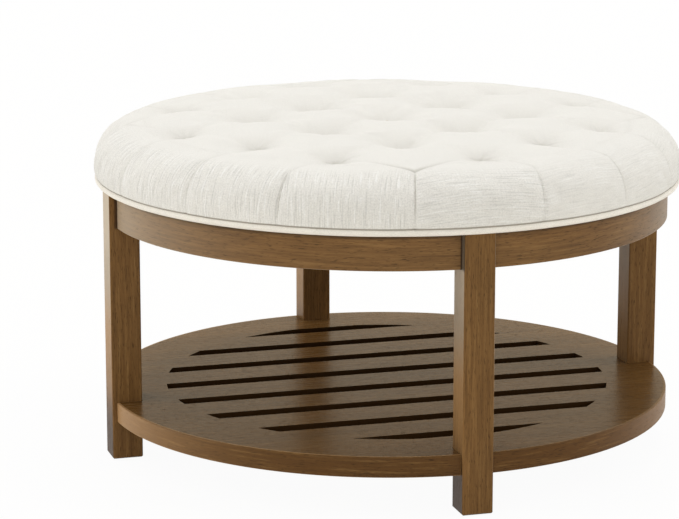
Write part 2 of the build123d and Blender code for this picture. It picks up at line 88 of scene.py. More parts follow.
class OttomanCushion(bpy.types.PropertyGroup):
    """Form and cloth of the cushion"""

    radius: FloatProperty(
        name="Radius", description="Outer radius of the cushion", default=COVER_HIGH.x, unit="LENGTH"
    )
    top: FloatProperty(
        name="Top", description="Height of the crown above the floor", default=469.9 * MM, unit="LENGTH"
    )
    crown_rise: FloatProperty(
        name="Crown Rise", description="How far the crown stands above its edge", default=17 * MM,
        unit="LENGTH",
    )
    crown_edge: FloatProperty(
        name="Crown Edge", description="Radius where the shoulder starts", default=348 * MM, unit="LENGTH"
    )
    shoulder: FloatProperty(
        name="Shoulder", description="Radius of the shoulder's lower arc", default=56 * MM, unit="LENGTH"
    )
    shoulder_turn: FloatProperty(
        name="Shoulder Turn", description="Turn at which the shoulder's arcs meet",
        default=math.radians(51), subtype="ANGLE",
    )
    side_draw: FloatProperty(
        name="Side Draw", description="How far the side is drawn in at its foot", default=2 * MM,
        unit="LENGTH",
    )
    hem: FloatProperty(
        name="Hem", description="Radius of the roll into the seam", default=4 * MM, unit="LENGTH"
    )
    half_column: FloatProperty(
        name="Half Column", description="Half the distance between tufts in a row", default=95.1 * MM,
        unit="LENGTH",
    )
    row: FloatProperty(
        name="Row", description="Distance between rows of tufts", default=94.5 * MM, unit="LENGTH"
    )
    grid_turn: FloatProperty(
        name="Grid Turn", description="Turn of the tuft grid from the legs", default=math.radians(-11.7),
        subtype="ANGLE",
    )
    tuft_depth: FloatProperty(
        name="Tuft Depth", description="How deep a tuft is pulled", default=18 * MM, unit="LENGTH"
    )
    tuft_reach: FloatProperty(
        name="Tuft Reach", description="Half the width of a tuft's bowl", default=25 * MM, unit="LENGTH"
    )
    sag: FloatProperty(
        name="Sag", description="How far the middle tufts pull down the cloth round them", default=9 * MM,
        unit="LENGTH",
    )
    crown_drop: FloatProperty(
        name="Crown Drop", description="How far all the middle tufts together pull down the crown",
        default=5 * MM, unit="LENGTH",
    )
    fold_depth: FloatProperty(
        name="Fold Depth", description="Depth of a fold where it leaves a tuft", default=5.5 * MM,
        unit="LENGTH",
    )
    fold_middle: FloatProperty(
        name="Fold Middle", description="Depth of a fold half way between tufts", default=0.3 * MM,
        unit="LENGTH",
    )
    pleat_depth: FloatProperty(
        name="Pleat Depth", description="Depth of a pleat down the side", default=2.1 * MM, unit="LENGTH"
    )
    pleat_lap: FloatProperty(
        name="Pleat Lap", description="Step where a panel laps over the next", default=0.9 * MM,
        unit="LENGTH",
    )
    shoulder_fullness: FloatProperty(
        name="Shoulder Fullness", description="How far the filling rounds out the shoulder",
        default=2.2 * MM, unit="LENGTH",
    )
    panel_bulge: FloatProperty(
        name="Panel Bulge", description="How far the side swells between pleats", default=0.9 * MM,
        unit="LENGTH",
    )
    pressure: FloatProperty(
        name="Pressure", description="Air pressure that swells the cloth between its tufts", default=4,
        min=0,
    )
    slack: FloatProperty(
        name="Slack", description="Share by which the cloth is larger than its form", default=0.02, min=0
    )
    inset: FloatProperty(
        name="Inset", description="How far inside its form the cloth starts on the crown", default=4.2 * MM,
        unit="LENGTH",
    )
    most_swell: FloatProperty(
        name="Most Swell", description="Farthest that the cloth may move", default=5 * MM, unit="LENGTH"
    )
    trial_spacing: FloatProperty(
        name="Cloth Spacing", description="Distance between points of the simulated cloth", default=11 * MM,
        unit="LENGTH",
    )
    spacing: FloatProperty(
        name="Mesh Spacing", description="Distance between mesh points on plain cloth", default=5 * MM,
        unit="LENGTH",
    )
    thread: FloatProperty(
        name="Thread Pitch", description="Distance between threads of the cloth", default=0.95 * MM,
        unit="LENGTH",
    )
    colour: FloatVectorProperty(
        name="Cloth", description="Colour of the cloth", default=(0.835, 0.815, 0.765),
        subtype="COLOR", size=3,
    )
    slub_colour: FloatVectorProperty(
        name="Slubs", description="Colour of the thick threads", default=(0.93, 0.92, 0.885),
        subtype="COLOR", size=3,
    )
    # Painted shade: the colour that stands for shadow deep in folds, pleat grooves, tuft bowls and the seam
    # under the hem
    crease_shade_colour: FloatVectorProperty(
        name="Creases", description="Colour deep in folds", default=(0.34, 0.31, 0.26),
        subtype="COLOR", size=3,
    )
    seed: IntProperty(
        name="Seed", description="Seed of the hand-made differences between tufts", default=11
    )


class OttomanPiping(bpy.types.PropertyGroup):
    """Form and cloth of the piping and its seam"""

    stitch_pitch: FloatProperty(
        name="Stitch Pitch", description="Distance between seam stitches", default=3.6 * MM, unit="LENGTH"
    )
    stitch_length: FloatProperty(
        name="Stitch Length", description="Length of a seam stitch", default=2.7 * MM, unit="LENGTH"
    )
    stitch_thickness: FloatProperty(
        name="Stitch Thickness", description="Thickness of the sewing thread", default=0.55 * MM,
        unit="LENGTH",
    )
    colour: FloatVectorProperty(
        name="Cloth", description="Colour of the piping", default=(0.97, 0.92, 0.83),
        subtype="COLOR", size=3,
    )
    thread_colour: FloatVectorProperty(
        name="Thread", description="Colour of the sewing thread", default=(0.075, 0.072, 0.055),
        subtype="COLOR", size=3,
    )


class OttomanWood(bpy.types.PropertyGroup):
    """Stain of the legs, aprons and shelf, and their painted sheen and shade"""

    stain: FloatVectorProperty(
        name="Stain", description="Middle tone of the stain", default=(0.190, 0.096, 0.030),
        subtype="COLOR", size=3,
    )
    dark: FloatVectorProperty(
        name="Dark Grain", description="Darkest streaks", default=(0.072, 0.032, 0.009),
        subtype="COLOR", size=3,
    )
    light: FloatVectorProperty(
        name="Light Grain", description="Lightest streaks", default=(0.31, 0.18, 0.065),
        subtype="COLOR", size=3,
    )
    # The shelf's stain, before its painted light and shade
    shelf_stain_and_shade: FloatVectorProperty(
        name="Shelf Stain", description="Middle tone of the shelf", default=(0.195, 0.098, 0.030),
        subtype="COLOR", size=3,
    )
    # Painted sheen: the colour of grazing reflections on the wood
    painted_sheen_colour: FloatVectorProperty(
        name="Bloom", description="Bloom of the finish seen from the side", default=(0.62, 0.52, 0.39),
        subtype="COLOR", size=3,
    )
    # Painted sheen lower down on the legs
    low_painted_sheen_colour: FloatVectorProperty(
        name="Low Bloom", description="Bloom of the finish near the floor", default=(0.56, 0.33, 0.15),
        subtype="COLOR", size=3,
    )
    band_stain: FloatVectorProperty(
        name="Band Stain", description="Middle tone of the shelf's edge", default=(0.106, 0.048, 0.012),
        subtype="COLOR", size=3,
    )
    # Painted shade in the joints beside the legs and painted shadow under the piping
    joint_shade: FloatVectorProperty(
        name="Joint Stain", description="Stain that stays where rails meet legs",
        default=(0.016, 0.008, 0.004), subtype="COLOR", size=3,
    )
    # Darker end grain and painted shade on the slot walls
    slot_stain_and_shade: FloatVectorProperty(
        name="Slot Stain", description="Stain on the walls of the slots", default=(0.012, 0.006, 0.003),
        subtype="COLOR", size=3,
    )
    # Painted shade on the turned faces near the floor
    painted_foot_shade: FloatVectorProperty(
        name="Foot Stain", description="Stain on the turned faces of the feet",
        default=(0.045, 0.021, 0.007), subtype="COLOR", size=3,
    )
    edge_width: FloatProperty(
        name="Edge Width", description="Width of the rubbed edges", default=2 * MM, unit="LENGTH"
    )


class OttomanStage(bpy.types.PropertyGroup):
    """Camera, lamps and floor"""

    azimuth: FloatProperty(
        name="Azimuth", description="Turn of the camera about the object", default=math.radians(-17.333),
        subtype="ANGLE",
    )
    elevation: FloatProperty(
        name="Elevation", description="Rise of the camera", default=math.radians(12.987), subtype="ANGLE"
    )
    distance: FloatProperty(
        name="Distance", description="Camera to the object's middle", default=4.1167, unit="LENGTH"
    )
    middle_height: FloatProperty(
        name="Middle Height", description="Height that the camera turns about", default=0.235, unit="LENGTH"
    )
    aim_across: FloatProperty(
        name="Aim Across", description="Aim to the side of the middle", default=-66.163 * MM, unit="LENGTH"
    )
    aim_height: FloatProperty(
        name="Aim Height", description="Height of the camera's aim", default=253.557 * MM, unit="LENGTH"
    )
    focal_length: FloatProperty(
        name="Focal Length", description="Lens for a 36 mm sensor", default=155.23, min=1
    )
    top_light: FloatProperty(
        name="Top Light", description="Strength of the light from above", default=0.97, min=0
    )
    side_light: FloatProperty(
        name="Side Light", description="Strength of the lights from both sides", default=0.95, min=0
    )
    front_light: FloatProperty(
        name="Front Light", description="Strength of the light from the camera's side", default=0.52, min=0
    )
    sky: FloatProperty(name="Sky", description="Strength of the even light", default=0.58, min=0)


def looks(context, part):
    """The settings of one part of the ottoman."""
    return getattr(context.scene, f"ottoman_{part}")


# Node trees


class Nodes:
    """Adds nodes to the tree of a material or a group, and joins them."""

    def __init__(self, tree):
        self.tree = tree

    def feed(self, socket, value):
        if isinstance(value, bpy.types.NodeSocket):
            self.tree.links.new(value, socket)
        else:
            socket.default_value = value

    def add(self, kind, inputs=None, **settings):
        node = self.tree.nodes.new(kind)
        for name, value in settings.items():
            setattr(node, name, value)
        for socket, value in (inputs or {}).items():
            self.feed(node.inputs[socket], value)
        return node

    def math(self, operation, first, second=0.0, third=0.0):
        return self.add("ShaderNodeMath", {0: first, 1: second, 2: third}, operation=operation).outputs[0]

    def times(self, first, second):
        return self.math("MULTIPLY", first, second)

    def times_plus(self, value, factor, offset):
        return self.math("MULTIPLY_ADD", value, factor, offset)

    def vector_math(self, operation, first, second=(0.0, 0.0, 0.0)):
        return self.add("ShaderNodeVectorMath", {0: first, 1: second}, operation=operation).outputs[0]

    def step(self, value, low, high, start=0.0, end=1.0):
        """A smooth step from start to end while the value goes from low to high."""
        inputs = {0: value, 1: low, 2: high, 3: start, 4: end}
        return self.add("ShaderNodeMapRange", inputs, interpolation_type="SMOOTHSTEP").outputs[0]

    def noise(self, vector, stretch, detail=3.0, roughness=0.55):
        """Noise whose grains per metre differ along the three axes."""
        scaled = self.vector_math("MULTIPLY", vector, stretch)
        inputs = {"Vector": scaled, "Scale": 1.0, "Detail": detail, "Roughness": roughness}
        return self.add("ShaderNodeTexNoise", inputs).outputs["Fac"]

    def split(self, vector):
        return self.add("ShaderNodeSeparateXYZ", {0: vector}).outputs

    def join(self, x, y, z):
        return self.add("ShaderNodeCombineXYZ", {0: x, 1: y, 2: z}).outputs[0]

    def blend(self, share, first, second, mode="MIX"):
        """A colour between two others."""
        node = self.add("ShaderNodeMix", {0: share, 6: first, 7: second}, data_type="RGBA", blend_type=mode)
        return node.outputs[2]

    def shaded(self, colour, shade):
        """A colour made darker or lighter by a plain shade."""
        return self.blend(1.0, colour, self.join(shade, shade, shade), mode="MULTIPLY")

    def place(self):
        """Where a point is in the frame."""
        return self.add("ShaderNodeTexCoord").outputs["Object"]

    def off_axis(self, x, y):
        """How far a point is from the upright axis through the origin."""
        return self.math("SQRT", self.math("ADD", self.times(x, x), self.times(y, y)))

    def upright_face(self):
        """A mask that is 1 on upright faces."""
        normal = self.add("ShaderNodeNewGeometry").outputs["Normal"]
        return self.step(self.math("ABSOLUTE", self.split(normal)[2]), 0.6, 0.3)

    def attribute(self, name, output="Fac"):
        return self.add("ShaderNodeAttribute", attribute_name=name).outputs[output]


# What a finish puts out, for its shader and its relief
FINISH_OUTPUTS = (("Color", "Color"), ("Roughness", "Float"), ("Height", "Float"))


def shader_group(name, inputs, outputs):
    """A new shader group with named sockets: its nodes, what comes in and what goes out."""
    group = bpy.data.node_groups.new(name, "ShaderNodeTree")
    for label, kind, default in inputs:
        socket = group.interface.new_socket(label, in_out="INPUT", socket_type=f"NodeSocket{kind}")
        if default is not None:
            socket.default_value = default
    for label, kind in outputs:
        group.interface.new_socket(label, in_out="OUTPUT", socket_type=f"NodeSocket{kind}")
    nodes = Nodes(group)
    return nodes, nodes.add("NodeGroupInput").outputs, nodes.add("NodeGroupOutput").inputs


def place_group(nodes, name, builder, inputs):
    """The outputs of a group placed in a material. The group is built the first time."""
    group = bpy.data.node_groups.get(name) or builder(name)
    return nodes.add("ShaderNodeGroup", inputs, node_tree=group).outputs


def new_material(name):
    """A material with its nodes and its shader."""
    material = bpy.data.materials.new(name)
    material.use_nodes = True
    shader = material.node_tree.nodes["Principled BSDF"]
    return material, Nodes(material.node_tree), shader


def opaque(colour):
    return (*colour, 1.0)


def coat(nodes, shader, finish, strength, depth, colour=None):
    """Feeds a finish to the shader: its colour, unless another is given, its roughness and its relief."""
    nodes.feed(shader.inputs["Base Color"], finish["Color"] if colour is None else colour)
    nodes.feed(shader.inputs["Roughness"], finish["Roughness"])
    relief = {"Height": finish["Height"], "Strength": strength, "Distance": depth}
    nodes.feed(shader.inputs["Normal"], nodes.add("ShaderNodeBump", relief).outputs["Normal"])


# Cloth

# Slubs: grains per metre across the thread and along it, and how much they count
SLUB_GRAINS = ((480.0, 20.0, 1.0), (820.0, 55.0, 0.55))


def slub_weave(name):
    """Plain-weave cloth with thick and thin threads. The vector is the cloth's own plane."""
    nodes, given, made = shader_group(
        name,
        (
            ("Vector", "Vector", None),
            ("Threads", "Float", 1050.0),
            ("Cloth", "Color", (0.8, 0.8, 0.8, 1.0)),
            ("Slubs", "Color", (0.9, 0.9, 0.9, 1.0)),
            ("Warp Share", "Float", 0.5),
            ("Slub Amount", "Float", 1.0),
        ),
        FINISH_OUTPUTS,
    )
    vector = given["Vector"]
    place = nodes.vector_math("SCALE", vector)
    nodes.feed(place.node.inputs["Scale"], given["Threads"])
    across, along, _ = nodes.split(place)

    warp = nodes.math("ABSOLUTE", nodes.math("SINE", nodes.times(across, math.pi)))
    weft = nodes.math("ABSOLUTE", nodes.math("SINE", nodes.times(along, math.pi)))
    over = nodes.add("ShaderNodeTexChecker", {"Vector": place, "Scale": 1.0}).outputs["Fac"]
    warp_top = nodes.times(warp, nodes.times_plus(weft, 0.5, 0.5))
    weft_top = nodes.times(weft, nodes.times_plus(warp, 0.5, 0.5))
    tops = [nodes.join(top, top, top) for top in (weft_top, warp_top)]
    thread = nodes.split(nodes.blend(over, *tops))[0]

    warp_share = given["Warp Share"]
    weft_share = nodes.math("SUBTRACT", 1.0, warp_share)
    thick, thin = 0.0, 0.0
    for across_grains, along_grains, amount in SLUB_GRAINS:
        warp_stretch = (across_grains, along_grains, 1.0)
        weft_stretch = (along_grains, across_grains, 1.0)
        for share, stretch in ((warp_share, warp_stretch), (weft_share, weft_stretch)):
            slub = nodes.noise(vector, stretch, detail=1.0)
            weight = nodes.times(share, amount)
            thick = nodes.times_plus(nodes.step(slub, 0.59, 0.66), weight, thick)
            thin = nodes.times_plus(nodes.step(slub, 0.43, 0.33), weight, thin)
    thick = nodes.math("MINIMUM", nodes.times(thick, given["Slub Amount"]), 1.0)
    thin = nodes.math("MINIMUM", nodes.times(thin, given["Slub Amount"]), 1.0)

    fuzz = nodes.noise(vector, (450.0, 450.0, 1.0), roughness=0.75)
    mottle = nodes.noise(vector, (14.0, 14.0, 1.0))
    fuzz_amount = nodes.times_plus(given["Slub Amount"], 0.55, 0.12)
    shade = nodes.times_plus(nodes.math("SUBTRACT", fuzz, 0.5), fuzz_amount, 1.0)
    for mark, factor, offset in ((mottle, 0.05, 0.975), (thread, 0.16, 0.87), (thin, -0.15, 1.0)):
        shade = nodes.times(shade, nodes.times_plus(mark, factor, offset))
    nodes.feed(made["Color"], nodes.shaded(nodes.blend(thick, given["Cloth"], given["Slubs"]), shade))
    nodes.feed(made["Roughness"], nodes.times_plus(thread, -0.10, 0.95))
    height = nodes.times_plus(thin, -0.6, nodes.times_plus(thick, 0.9, nodes.times(thread, 0.55)))
    nodes.feed(made["Height"], nodes.times_plus(fuzz, 0.35, height))
    return nodes.tree


def woven_cloth(name, colour, slubs, threads, slub_amount=1.0, crease=None, relief=0.55):
    """Upholstery cloth. With a painted shade colour, the piece carries its plane and its share of painted
    shade as attributes.
    """
    material, nodes, shader = new_material(name)
    if crease is not None:
        vector = nodes.attribute("cloth_plane", "Vector")
        share = nodes.attribute("warp_share")
        slub_amount = nodes.attribute("slub_amount")
    else:
        x, y, z = nodes.split(nodes.place())
        turn = nodes.times(nodes.math("ARCTAN2", y, x), COVER_HIGH.x)
        vector = nodes.join(nodes.math("ADD", turn, z), nodes.math("SUBTRACT", turn, z), 0.0)
        share = 0.5
    weave = place_group(nodes, "Slub weave", slub_weave, {
        "Vector": vector,
        "Threads": threads,
        "Cloth": opaque(colour),
        "Slubs": opaque(slubs),
        "Warp Share": share,
        "Slub Amount": slub_amount,
    })
    cloth = weave["Color"]
    if crease is not None:
        # Painted shade in the fold grooves, pleats, tuft bowls and the seam under the hem
        cloth = nodes.blend(nodes.attribute("crease"), cloth, opaque(crease))
    shader.inputs["Sheen Weight"].default_value = 0.12
    shader.inputs["Sheen Roughness"].default_value = 0.5
    shader.inputs["Specular IOR Level"].default_value = 0.25
    coat(nodes, shader, weave, relief, 0.5 * MM, cloth)
    return material


# Wood


def wood_grain(name):
    """Stained open-pored wood. The vector's X runs along the grain."""
    nodes, given, made = shader_group(
        name,
        (
            ("Vector", "Vector", None),
            ("Stain", "Color", (0.2, 0.12, 0.06, 1.0)),
            ("Dark", "Color", (0.08, 0.04, 0.02, 1.0)),
            ("Light", "Color", (0.36, 0.22, 0.12, 1.0)),
            ("Contrast", "Float", 1.0),
            ("Gloss", "Float", 0.38),
        ),
        FINISH_OUTPUTS,
    )
    drift = nodes.noise(given["Vector"], (3.0, 9.0, 9.0), detail=2.0)
    bent = nodes.vector_math("ADD", given["Vector"], nodes.join(0.0, nodes.times(drift, 0.02), 0.0))
    tone = nodes.noise(bent, (1.6, 22.0, 22.0), detail=2.0)
    streak = nodes.noise(bent, (10.0, 260.0, 260.0), detail=4.0, roughness=0.65)
    fibre = nodes.noise(bent, (24.0, 760.0, 760.0), roughness=0.65)
    pores = nodes.step(nodes.noise(bent, (90.0, 900.0, 900.0), detail=1.0), 0.58, 0.70)

    dark_share = nodes.times(nodes.step(streak, 0.56, 0.34), given["Contrast"])
    light_share = nodes.times(nodes.step(streak, 0.52, 0.74), given["Contrast"])
    colour = nodes.blend(nodes.times(dark_share, 0.42), given["Stain"], given["Dark"])
    colour = nodes.blend(nodes.times(light_share, 0.5), colour, given["Light"])
    shade = nodes.times(nodes.times_plus(fibre, 0.62, 0.69), nodes.times_plus(tone, 0.56, 0.72))
    shade = nodes.times(shade, nodes.times_plus(pores, -0.46, 1.0))
    nodes.feed(made["Color"], nodes.shaded(colour, shade))
    rough = nodes.times_plus(fibre, 0.14, nodes.math("SUBTRACT", given["Gloss"], 0.07))
    nodes.feed(made["Roughness"], nodes.times_plus(pores, 0.2, rough))
    nodes.feed(made["Height"], nodes.times_plus(pores, -1.0, nodes.times(fibre, 0.35)))
    return nodes.tree


def rubbed_edge(name):
    """A mask that is 1 on eased edges, where the stain is rubbed thin."""
    inputs = (("Width", "Float", 2 * MM), ("Vector", "Vector", None))
    nodes, given, made = shader_group(name, inputs, (("Mask", "Float"),))
    flat = nodes.add("ShaderNodeNewGeometry").outputs["Normal"]
    rounded = nodes.add("ShaderNodeBevel", {"Radius": given["Width"]}, samples=4).outputs["Normal"]
    dot = nodes.add("ShaderNodeVectorMath", {0: flat, 1: rounded}, operation="DOT_PRODUCT").outputs["Value"]
    patchy = nodes.noise(given["Vector"], (45.0, 45.0, 45.0))
    worn = nodes.times(nodes.step(dot, 0.995, 0.86), nodes.step(patchy, 0.25, 0.6, 0.45, 1.0))
    nodes.feed(made["Mask"], worn)
    return nodes.tree


def grain_vector(nodes, along):
    """Where a point is in its piece's wood, with X along the grain."""
    place = nodes.place()
    if along == "X":
        return place
    x, y, z = nodes.split(place)
    if along == "Z":
        return nodes.join(z, x, y)
    turn = nodes.math("ARCTAN2", y, x)
    return nodes.join(nodes.times(turn, APRON_HIGH.x), nodes.off_axis(x, y), z)


def place_grain(nodes, vector, stain, dark, light, contrast, gloss):
    """The wood grain placed in a material, with its middle, dark and light tones."""
    return place_group(nodes, "Wood grain", wood_grain, {
        "Vector": vector,
        "Stain": opaque(stain),
        "Dark": opaque(dark),
        "Light": opaque(light),
        "Contrast": contrast,
        "Gloss": gloss,
    })


def shelf_stain_and_shade(nodes, wood, colour):
    """Painted light in the shelf's middle and painted shade toward its rim, and painted shade on the walls
    of its slots, which also have darker end grain.
    """
    x, y, _ = nodes.split(nodes.place())
    # Painted light in the middle, painted shade toward the rim
    colour = nodes.shaded(colour, nodes.step(nodes.off_axis(x, y), 100 * MM, 370 * MM, 1.18, 0.81))
    wall = nodes.upright_face()
    # Painted shade on the slot walls, partly their darker end grain
    colour = nodes.blend(nodes.times(wall, 0.93), colour, opaque(wood.dark))
    return nodes.blend(nodes.times(wall, 0.6), colour, opaque(wood.slot_stain_and_shade))


def off_leg_middle(nodes, x, y):
    """How far a point is from the nearer of the two upright planes through the middles of the legs."""
    return nodes.math("MINIMUM", nodes.math("ABSOLUTE", x), nodes.math("ABSOLUTE", y))


def rail_joint_shade_and_piping_shadow(nodes, wood, colour):
    """The dark painted shade in the joint where a rail meets a leg, and a painted shadow along its top
    under the piping.
    """
    x, y, z = nodes.split(nodes.place())
    # Painted shade in the joint beside the leg
    line = nodes.step(off_leg_middle(nodes, x, y), HALF_LEG + 3.5 * MM, HALF_LEG + 0.5 * MM, 0.0, 0.9)
    # Painted shadow of the piping along the rail's top
    top = nodes.step(z, APRON_HIGH.z - 10 * MM, APRON_HIGH.z - 5 * MM, 0.0, 0.55)
    return nodes.blend(nodes.math("MAXIMUM", line, top), colour, opaque(wood.joint_shade))


def leg_joint_shade(nodes, wood, colour):
    """Painted shade on the sides of a leg where it stands out beside the rails that it holds."""
    x, y, z = nodes.split(nodes.place())
    # Painted shade on the leg's side face next to the rail
    side = nodes.step(off_leg_middle(nodes, x, y), HALF_LEG - 1.2 * MM, HALF_LEG - 0.2 * MM, 0.0, 0.7)
    line = nodes.times(side, nodes.step(z, APRON_LOW.z - 3 * MM, APRON_LOW.z + 2 * MM))
    near_rail = nodes.step(nodes.math("ABSOLUTE", x), APRON_HIGH.x + 4.5 * MM, APRON_HIGH.x + 2.5 * MM)
    return nodes.blend(nodes.times(line, near_rail), colour, opaque(wood.joint_shade))


def painted_sheen_and_foot_shade(nodes, wood, colour, amount, start, standing):
    """Painted sheen: a satin finish's reflection seen from the side, put into the colour and warmer lower
    down. A standing piece has a dark painted shade at its foot instead, and more painted sheen near its
    top.
    """
    facing = nodes.add("ShaderNodeLayerWeight", {"Blend": 0.5}).outputs["Facing"]
    turned = nodes.step(facing, start, 0.95)
    height = nodes.split(nodes.place())[2]
    # Painted sheen colour, warmer lower down
    painted_sheen_colour = nodes.blend(nodes.step(height, 160 * MM, 270 * MM), opaque(wood.low_painted_sheen_colour), opaque(wood.painted_sheen_colour))
    if standing:
        # Painted shade on turned faces near the floor
        foot = nodes.times(nodes.step(facing, start, 0.75), nodes.step(height, 110 * MM, 50 * MM, 0.0, 0.9))
        colour = nodes.blend(foot, colour, opaque(wood.painted_foot_shade))
        # Less painted sheen near the foot, more near the top
        turned = nodes.times(turned, nodes.step(height, 30 * MM, 200 * MM))
        turned = nodes.times(turned, nodes.step(height, 250 * MM, 330 * MM, 1.0, 1.42))
    return nodes.blend(nodes.times(turned, amount), colour, painted_sheen_colour)


def stained_wood(name, wood, along, stain, contrast=1.0, gloss=0.4, specular=0.12, painted_sheen=None, extra=None):
    """Stained wood with rubbed edges and a satin finish with painted sheen. A painted sheen is an amount
    and where it starts.
    """
    material, nodes, shader = new_material(name)
    vector = grain_vector(nodes, along)
    grain = place_grain(nodes, vector, stain, wood.dark, wood.light, contrast, gloss)
    worn = place_group(nodes, "Rubbed edge", rubbed_edge, {"Width": wood.edge_width, "Vector": vector})
    colour = nodes.blend(nodes.times(worn["Mask"], 0.55), grain["Color"], opaque(wood.light))
    # Painted sheen on faces seen from the side
    if painted_sheen:
        colour = painted_sheen_and_foot_shade(nodes, wood, colour, *painted_sheen, standing=along == "Z")
    if extra:
        colour = extra(nodes, wood, colour)
    shader.inputs["Specular IOR Level"].default_value = specular
    coat(nodes, shader, grain, 0.35, 0.25 * MM, colour)
    return material


def plain_timber(name, along, stain, dark, light):
    """Unstained timber for pieces that are out of sight."""
    material, nodes, shader = new_material(name)
    grain = place_grain(nodes, grain_vector(nodes, along), stain, dark, light, 0.7, 0.72)
    coat(nodes, shader, grain, 0.4, 0.3 * MM)
    return material


def plywood(name, stain, dark, light, glue, ply):
    """Plywood: grain on its faces and thin layers round its edge."""
    material, nodes, shader = new_material(name)
    vector = grain_vector(nodes, "X")
    grain = place_grain(nodes, vector, stain, dark, light, 0.8, 0.75)
    layer = nodes.math("SINE", nodes.times(nodes.split(vector)[2], math.pi / ply))
    share = nodes.times(nodes.step(layer, -0.3, 0.3), nodes.times(nodes.upright_face(), 0.6))
    coat(nodes, shader, grain, 0.4, 0.3 * MM, nodes.blend(share, grain["Color"], opaque(glue)))
    return material


# Metal, plastic and twine


def speckle(name):
    """Small marks and mottling for metal, plastic and twine."""
    nodes, given, made = shader_group(
        name,
        (
            ("Vector", "Vector", None),
            ("Grains", "Float", 400.0),
            ("Color", "Color", (0.5, 0.5, 0.5, 1.0)),
            ("Marks", "Color", (0.3, 0.3, 0.3, 1.0)),
            ("Roughness", "Float", 0.4),
        ),
        FINISH_OUTPUTS,
    )
    scaled = nodes.vector_math("SCALE", given["Vector"])
    nodes.feed(scaled.node.inputs["Scale"], given["Grains"])
    fine = nodes.add("ShaderNodeTexNoise", {"Vector": scaled, "Scale": 1.0, "Detail": 4.0}).outputs["Fac"]
    broad = nodes.add("ShaderNodeTexNoise", {"Vector": scaled, "Scale": 0.07, "Detail": 3.0}).outputs["Fac"]
    marks = nodes.times(nodes.step(fine, 0.50, 0.72), nodes.step(broad, 0.35, 0.65, 0.3, 0.9))
    nodes.feed(made["Color"], nodes.blend(marks, given["Color"], given["Marks"]))
    smoothest = nodes.math("SUBTRACT", given["Roughness"], 0.12)
    nodes.feed(made["Roughness"], nodes.times_plus(fine, 0.25, smoothest))
    nodes.feed(made["Height"], fine)
    return nodes.tree


def speckled(name, colour, marks, roughness, grains=400.0, metallic=0.0):
    """Metal, plastic or twine with small marks."""
    material, nodes, shader = new_material(name)
    finish = place_group(nodes, "Speckle", speckle, {
        "Vector": nodes.place(),
        "Grains": grains,
        "Color": opaque(colour),
        "Marks": opaque(marks),
        "Roughness": roughness,
    })
    shader.inputs["Metallic"].default_value = metallic
    coat(nodes, shader, finish, 0.5, 0.05 * MM)
    return material


# Cushion form


class CushionProfile:
    """The cushion's side view: four tangent arcs from the crown to the foot, and the hem's roll."""

    def __init__(self, sizes, foot):
        crown = (sizes.crown_edge**2 + sizes.crown_rise**2) / (2 * sizes.crown_rise)
        crown_turn = math.acos(sizes.crown_edge / crown)
        low_centre = sizes.radius - sizes.shoulder
        low_end = low_centre + sizes.shoulder * math.cos(sizes.shoulder_turn)
        high = (low_end - sizes.crown_edge) / (math.cos(sizes.shoulder_turn) - math.cos(crown_turn))
        high_centre = sizes.crown_edge - high * math.cos(crown_turn)
        high_height = sizes.top - sizes.crown_rise - high * math.sin(crown_turn)
        low_height = high_height + (high - sizes.shoulder) * math.sin(sizes.shoulder_turn)
        side_height = low_height - foot
        side = (side_height**2 + sizes.side_draw**2) / (2 * sizes.side_draw)
        side_turn = -math.asin(side_height / side)
        hem_x = sizes.radius - side + (side - sizes.hem) * math.cos(side_turn)
        hem_height = low_height + (side - sizes.hem) * math.sin(side_turn)
        hem_end = math.radians(-110)
        turns = (math.pi / 2, crown_turn, sizes.shoulder_turn, 0.0, side_turn, hem_end)
        radii = (crown, high, sizes.shoulder, side, sizes.hem)
        centres = (
            (0.0, sizes.top - crown),
            (high_centre, high_height),
            (low_centre, low_height),
            (sizes.radius - side, low_height),
            (hem_x, hem_height),
        )
        self.turns = np.array(turns)
        self.radii = np.array(radii)
        self.centres = np.array(centres)
        lengths = self.radii * (self.turns[:-1] - self.turns[1:])
        self.starts = np.concatenate(([0.0], np.cumsum(lengths)))
        self.length = self.starts[-1]
        self.foot = self.starts[-2]

    def at(self, distance):
        """Radius, height and turn of the surface at a distance along it from the crown."""
        arc = np.clip(np.searchsorted(self.starts, distance, side="right") - 1, 0, len(self.radii) - 1)
        turn = self.turns[arc] - (distance - self.starts[arc]) / self.radii[arc]
        radius = self.centres[arc, 0] + self.radii[arc] * np.cos(turn)
        height = self.centres[arc, 1] + self.radii[arc] * np.sin(turn)
        return radius, height, turn


def tuft_cells():
    """Column and row of every tuft, row by row."""
    middle = (len(TUFT_ROW_COUNTS) - 1) / 2
    return [
        (2 * place - count + 1, number - middle)
        for number, count in enumerate(TUFT_ROW_COUNTS)
        for place in range(count)
    ]


def grid_point(sizes, column, row):
    """Where a grid point lies on the cushion laid flat."""
    across, down = column * sizes.half_column, row * sizes.row
    cosine, sine = math.cos(sizes.grid_turn), math.sin(sizes.grid_turn)
    return np.array((across * cosine + down * sine, across * sine - down * cosine))


def pleat_feeds():
    """Each pleat's angle from the grid's front, and the tufts whose folds feed it."""
    found = {}
    for angle, cells in PLEAT_FEEDS:
        for side in (1, -1):
            for end in (1, -1):
                mirrored = side * angle if end == 1 else 180 - side * angle
                found[round(mirrored % 360, 3)] = [(side * column, end * row) for column, row in cells]
    return dict(sorted(found.items()))


def smooth_ramp(value, low, high):
    """0 below the low value, 1 above the high one, and a smooth step between them."""
    share = np.clip((value - low) / (high - low), 0.0, 1.0)
    return share * share * (3 - 2 * share)


def from_middle(points):
    """How far points on the cushion laid flat are from its middle."""
    return np.hypot(points[:, 0], points[:, 1])


def nearest_turn(turn):
    """A turn brought between half a turn back and half a turn ahead."""
    return (turn + math.pi) % math.tau - math.pi


def spokes(turns):
    """Directions on the cushion laid flat, one for each turn."""
    return np.stack((np.cos(turns), np.sin(turns)), 1)


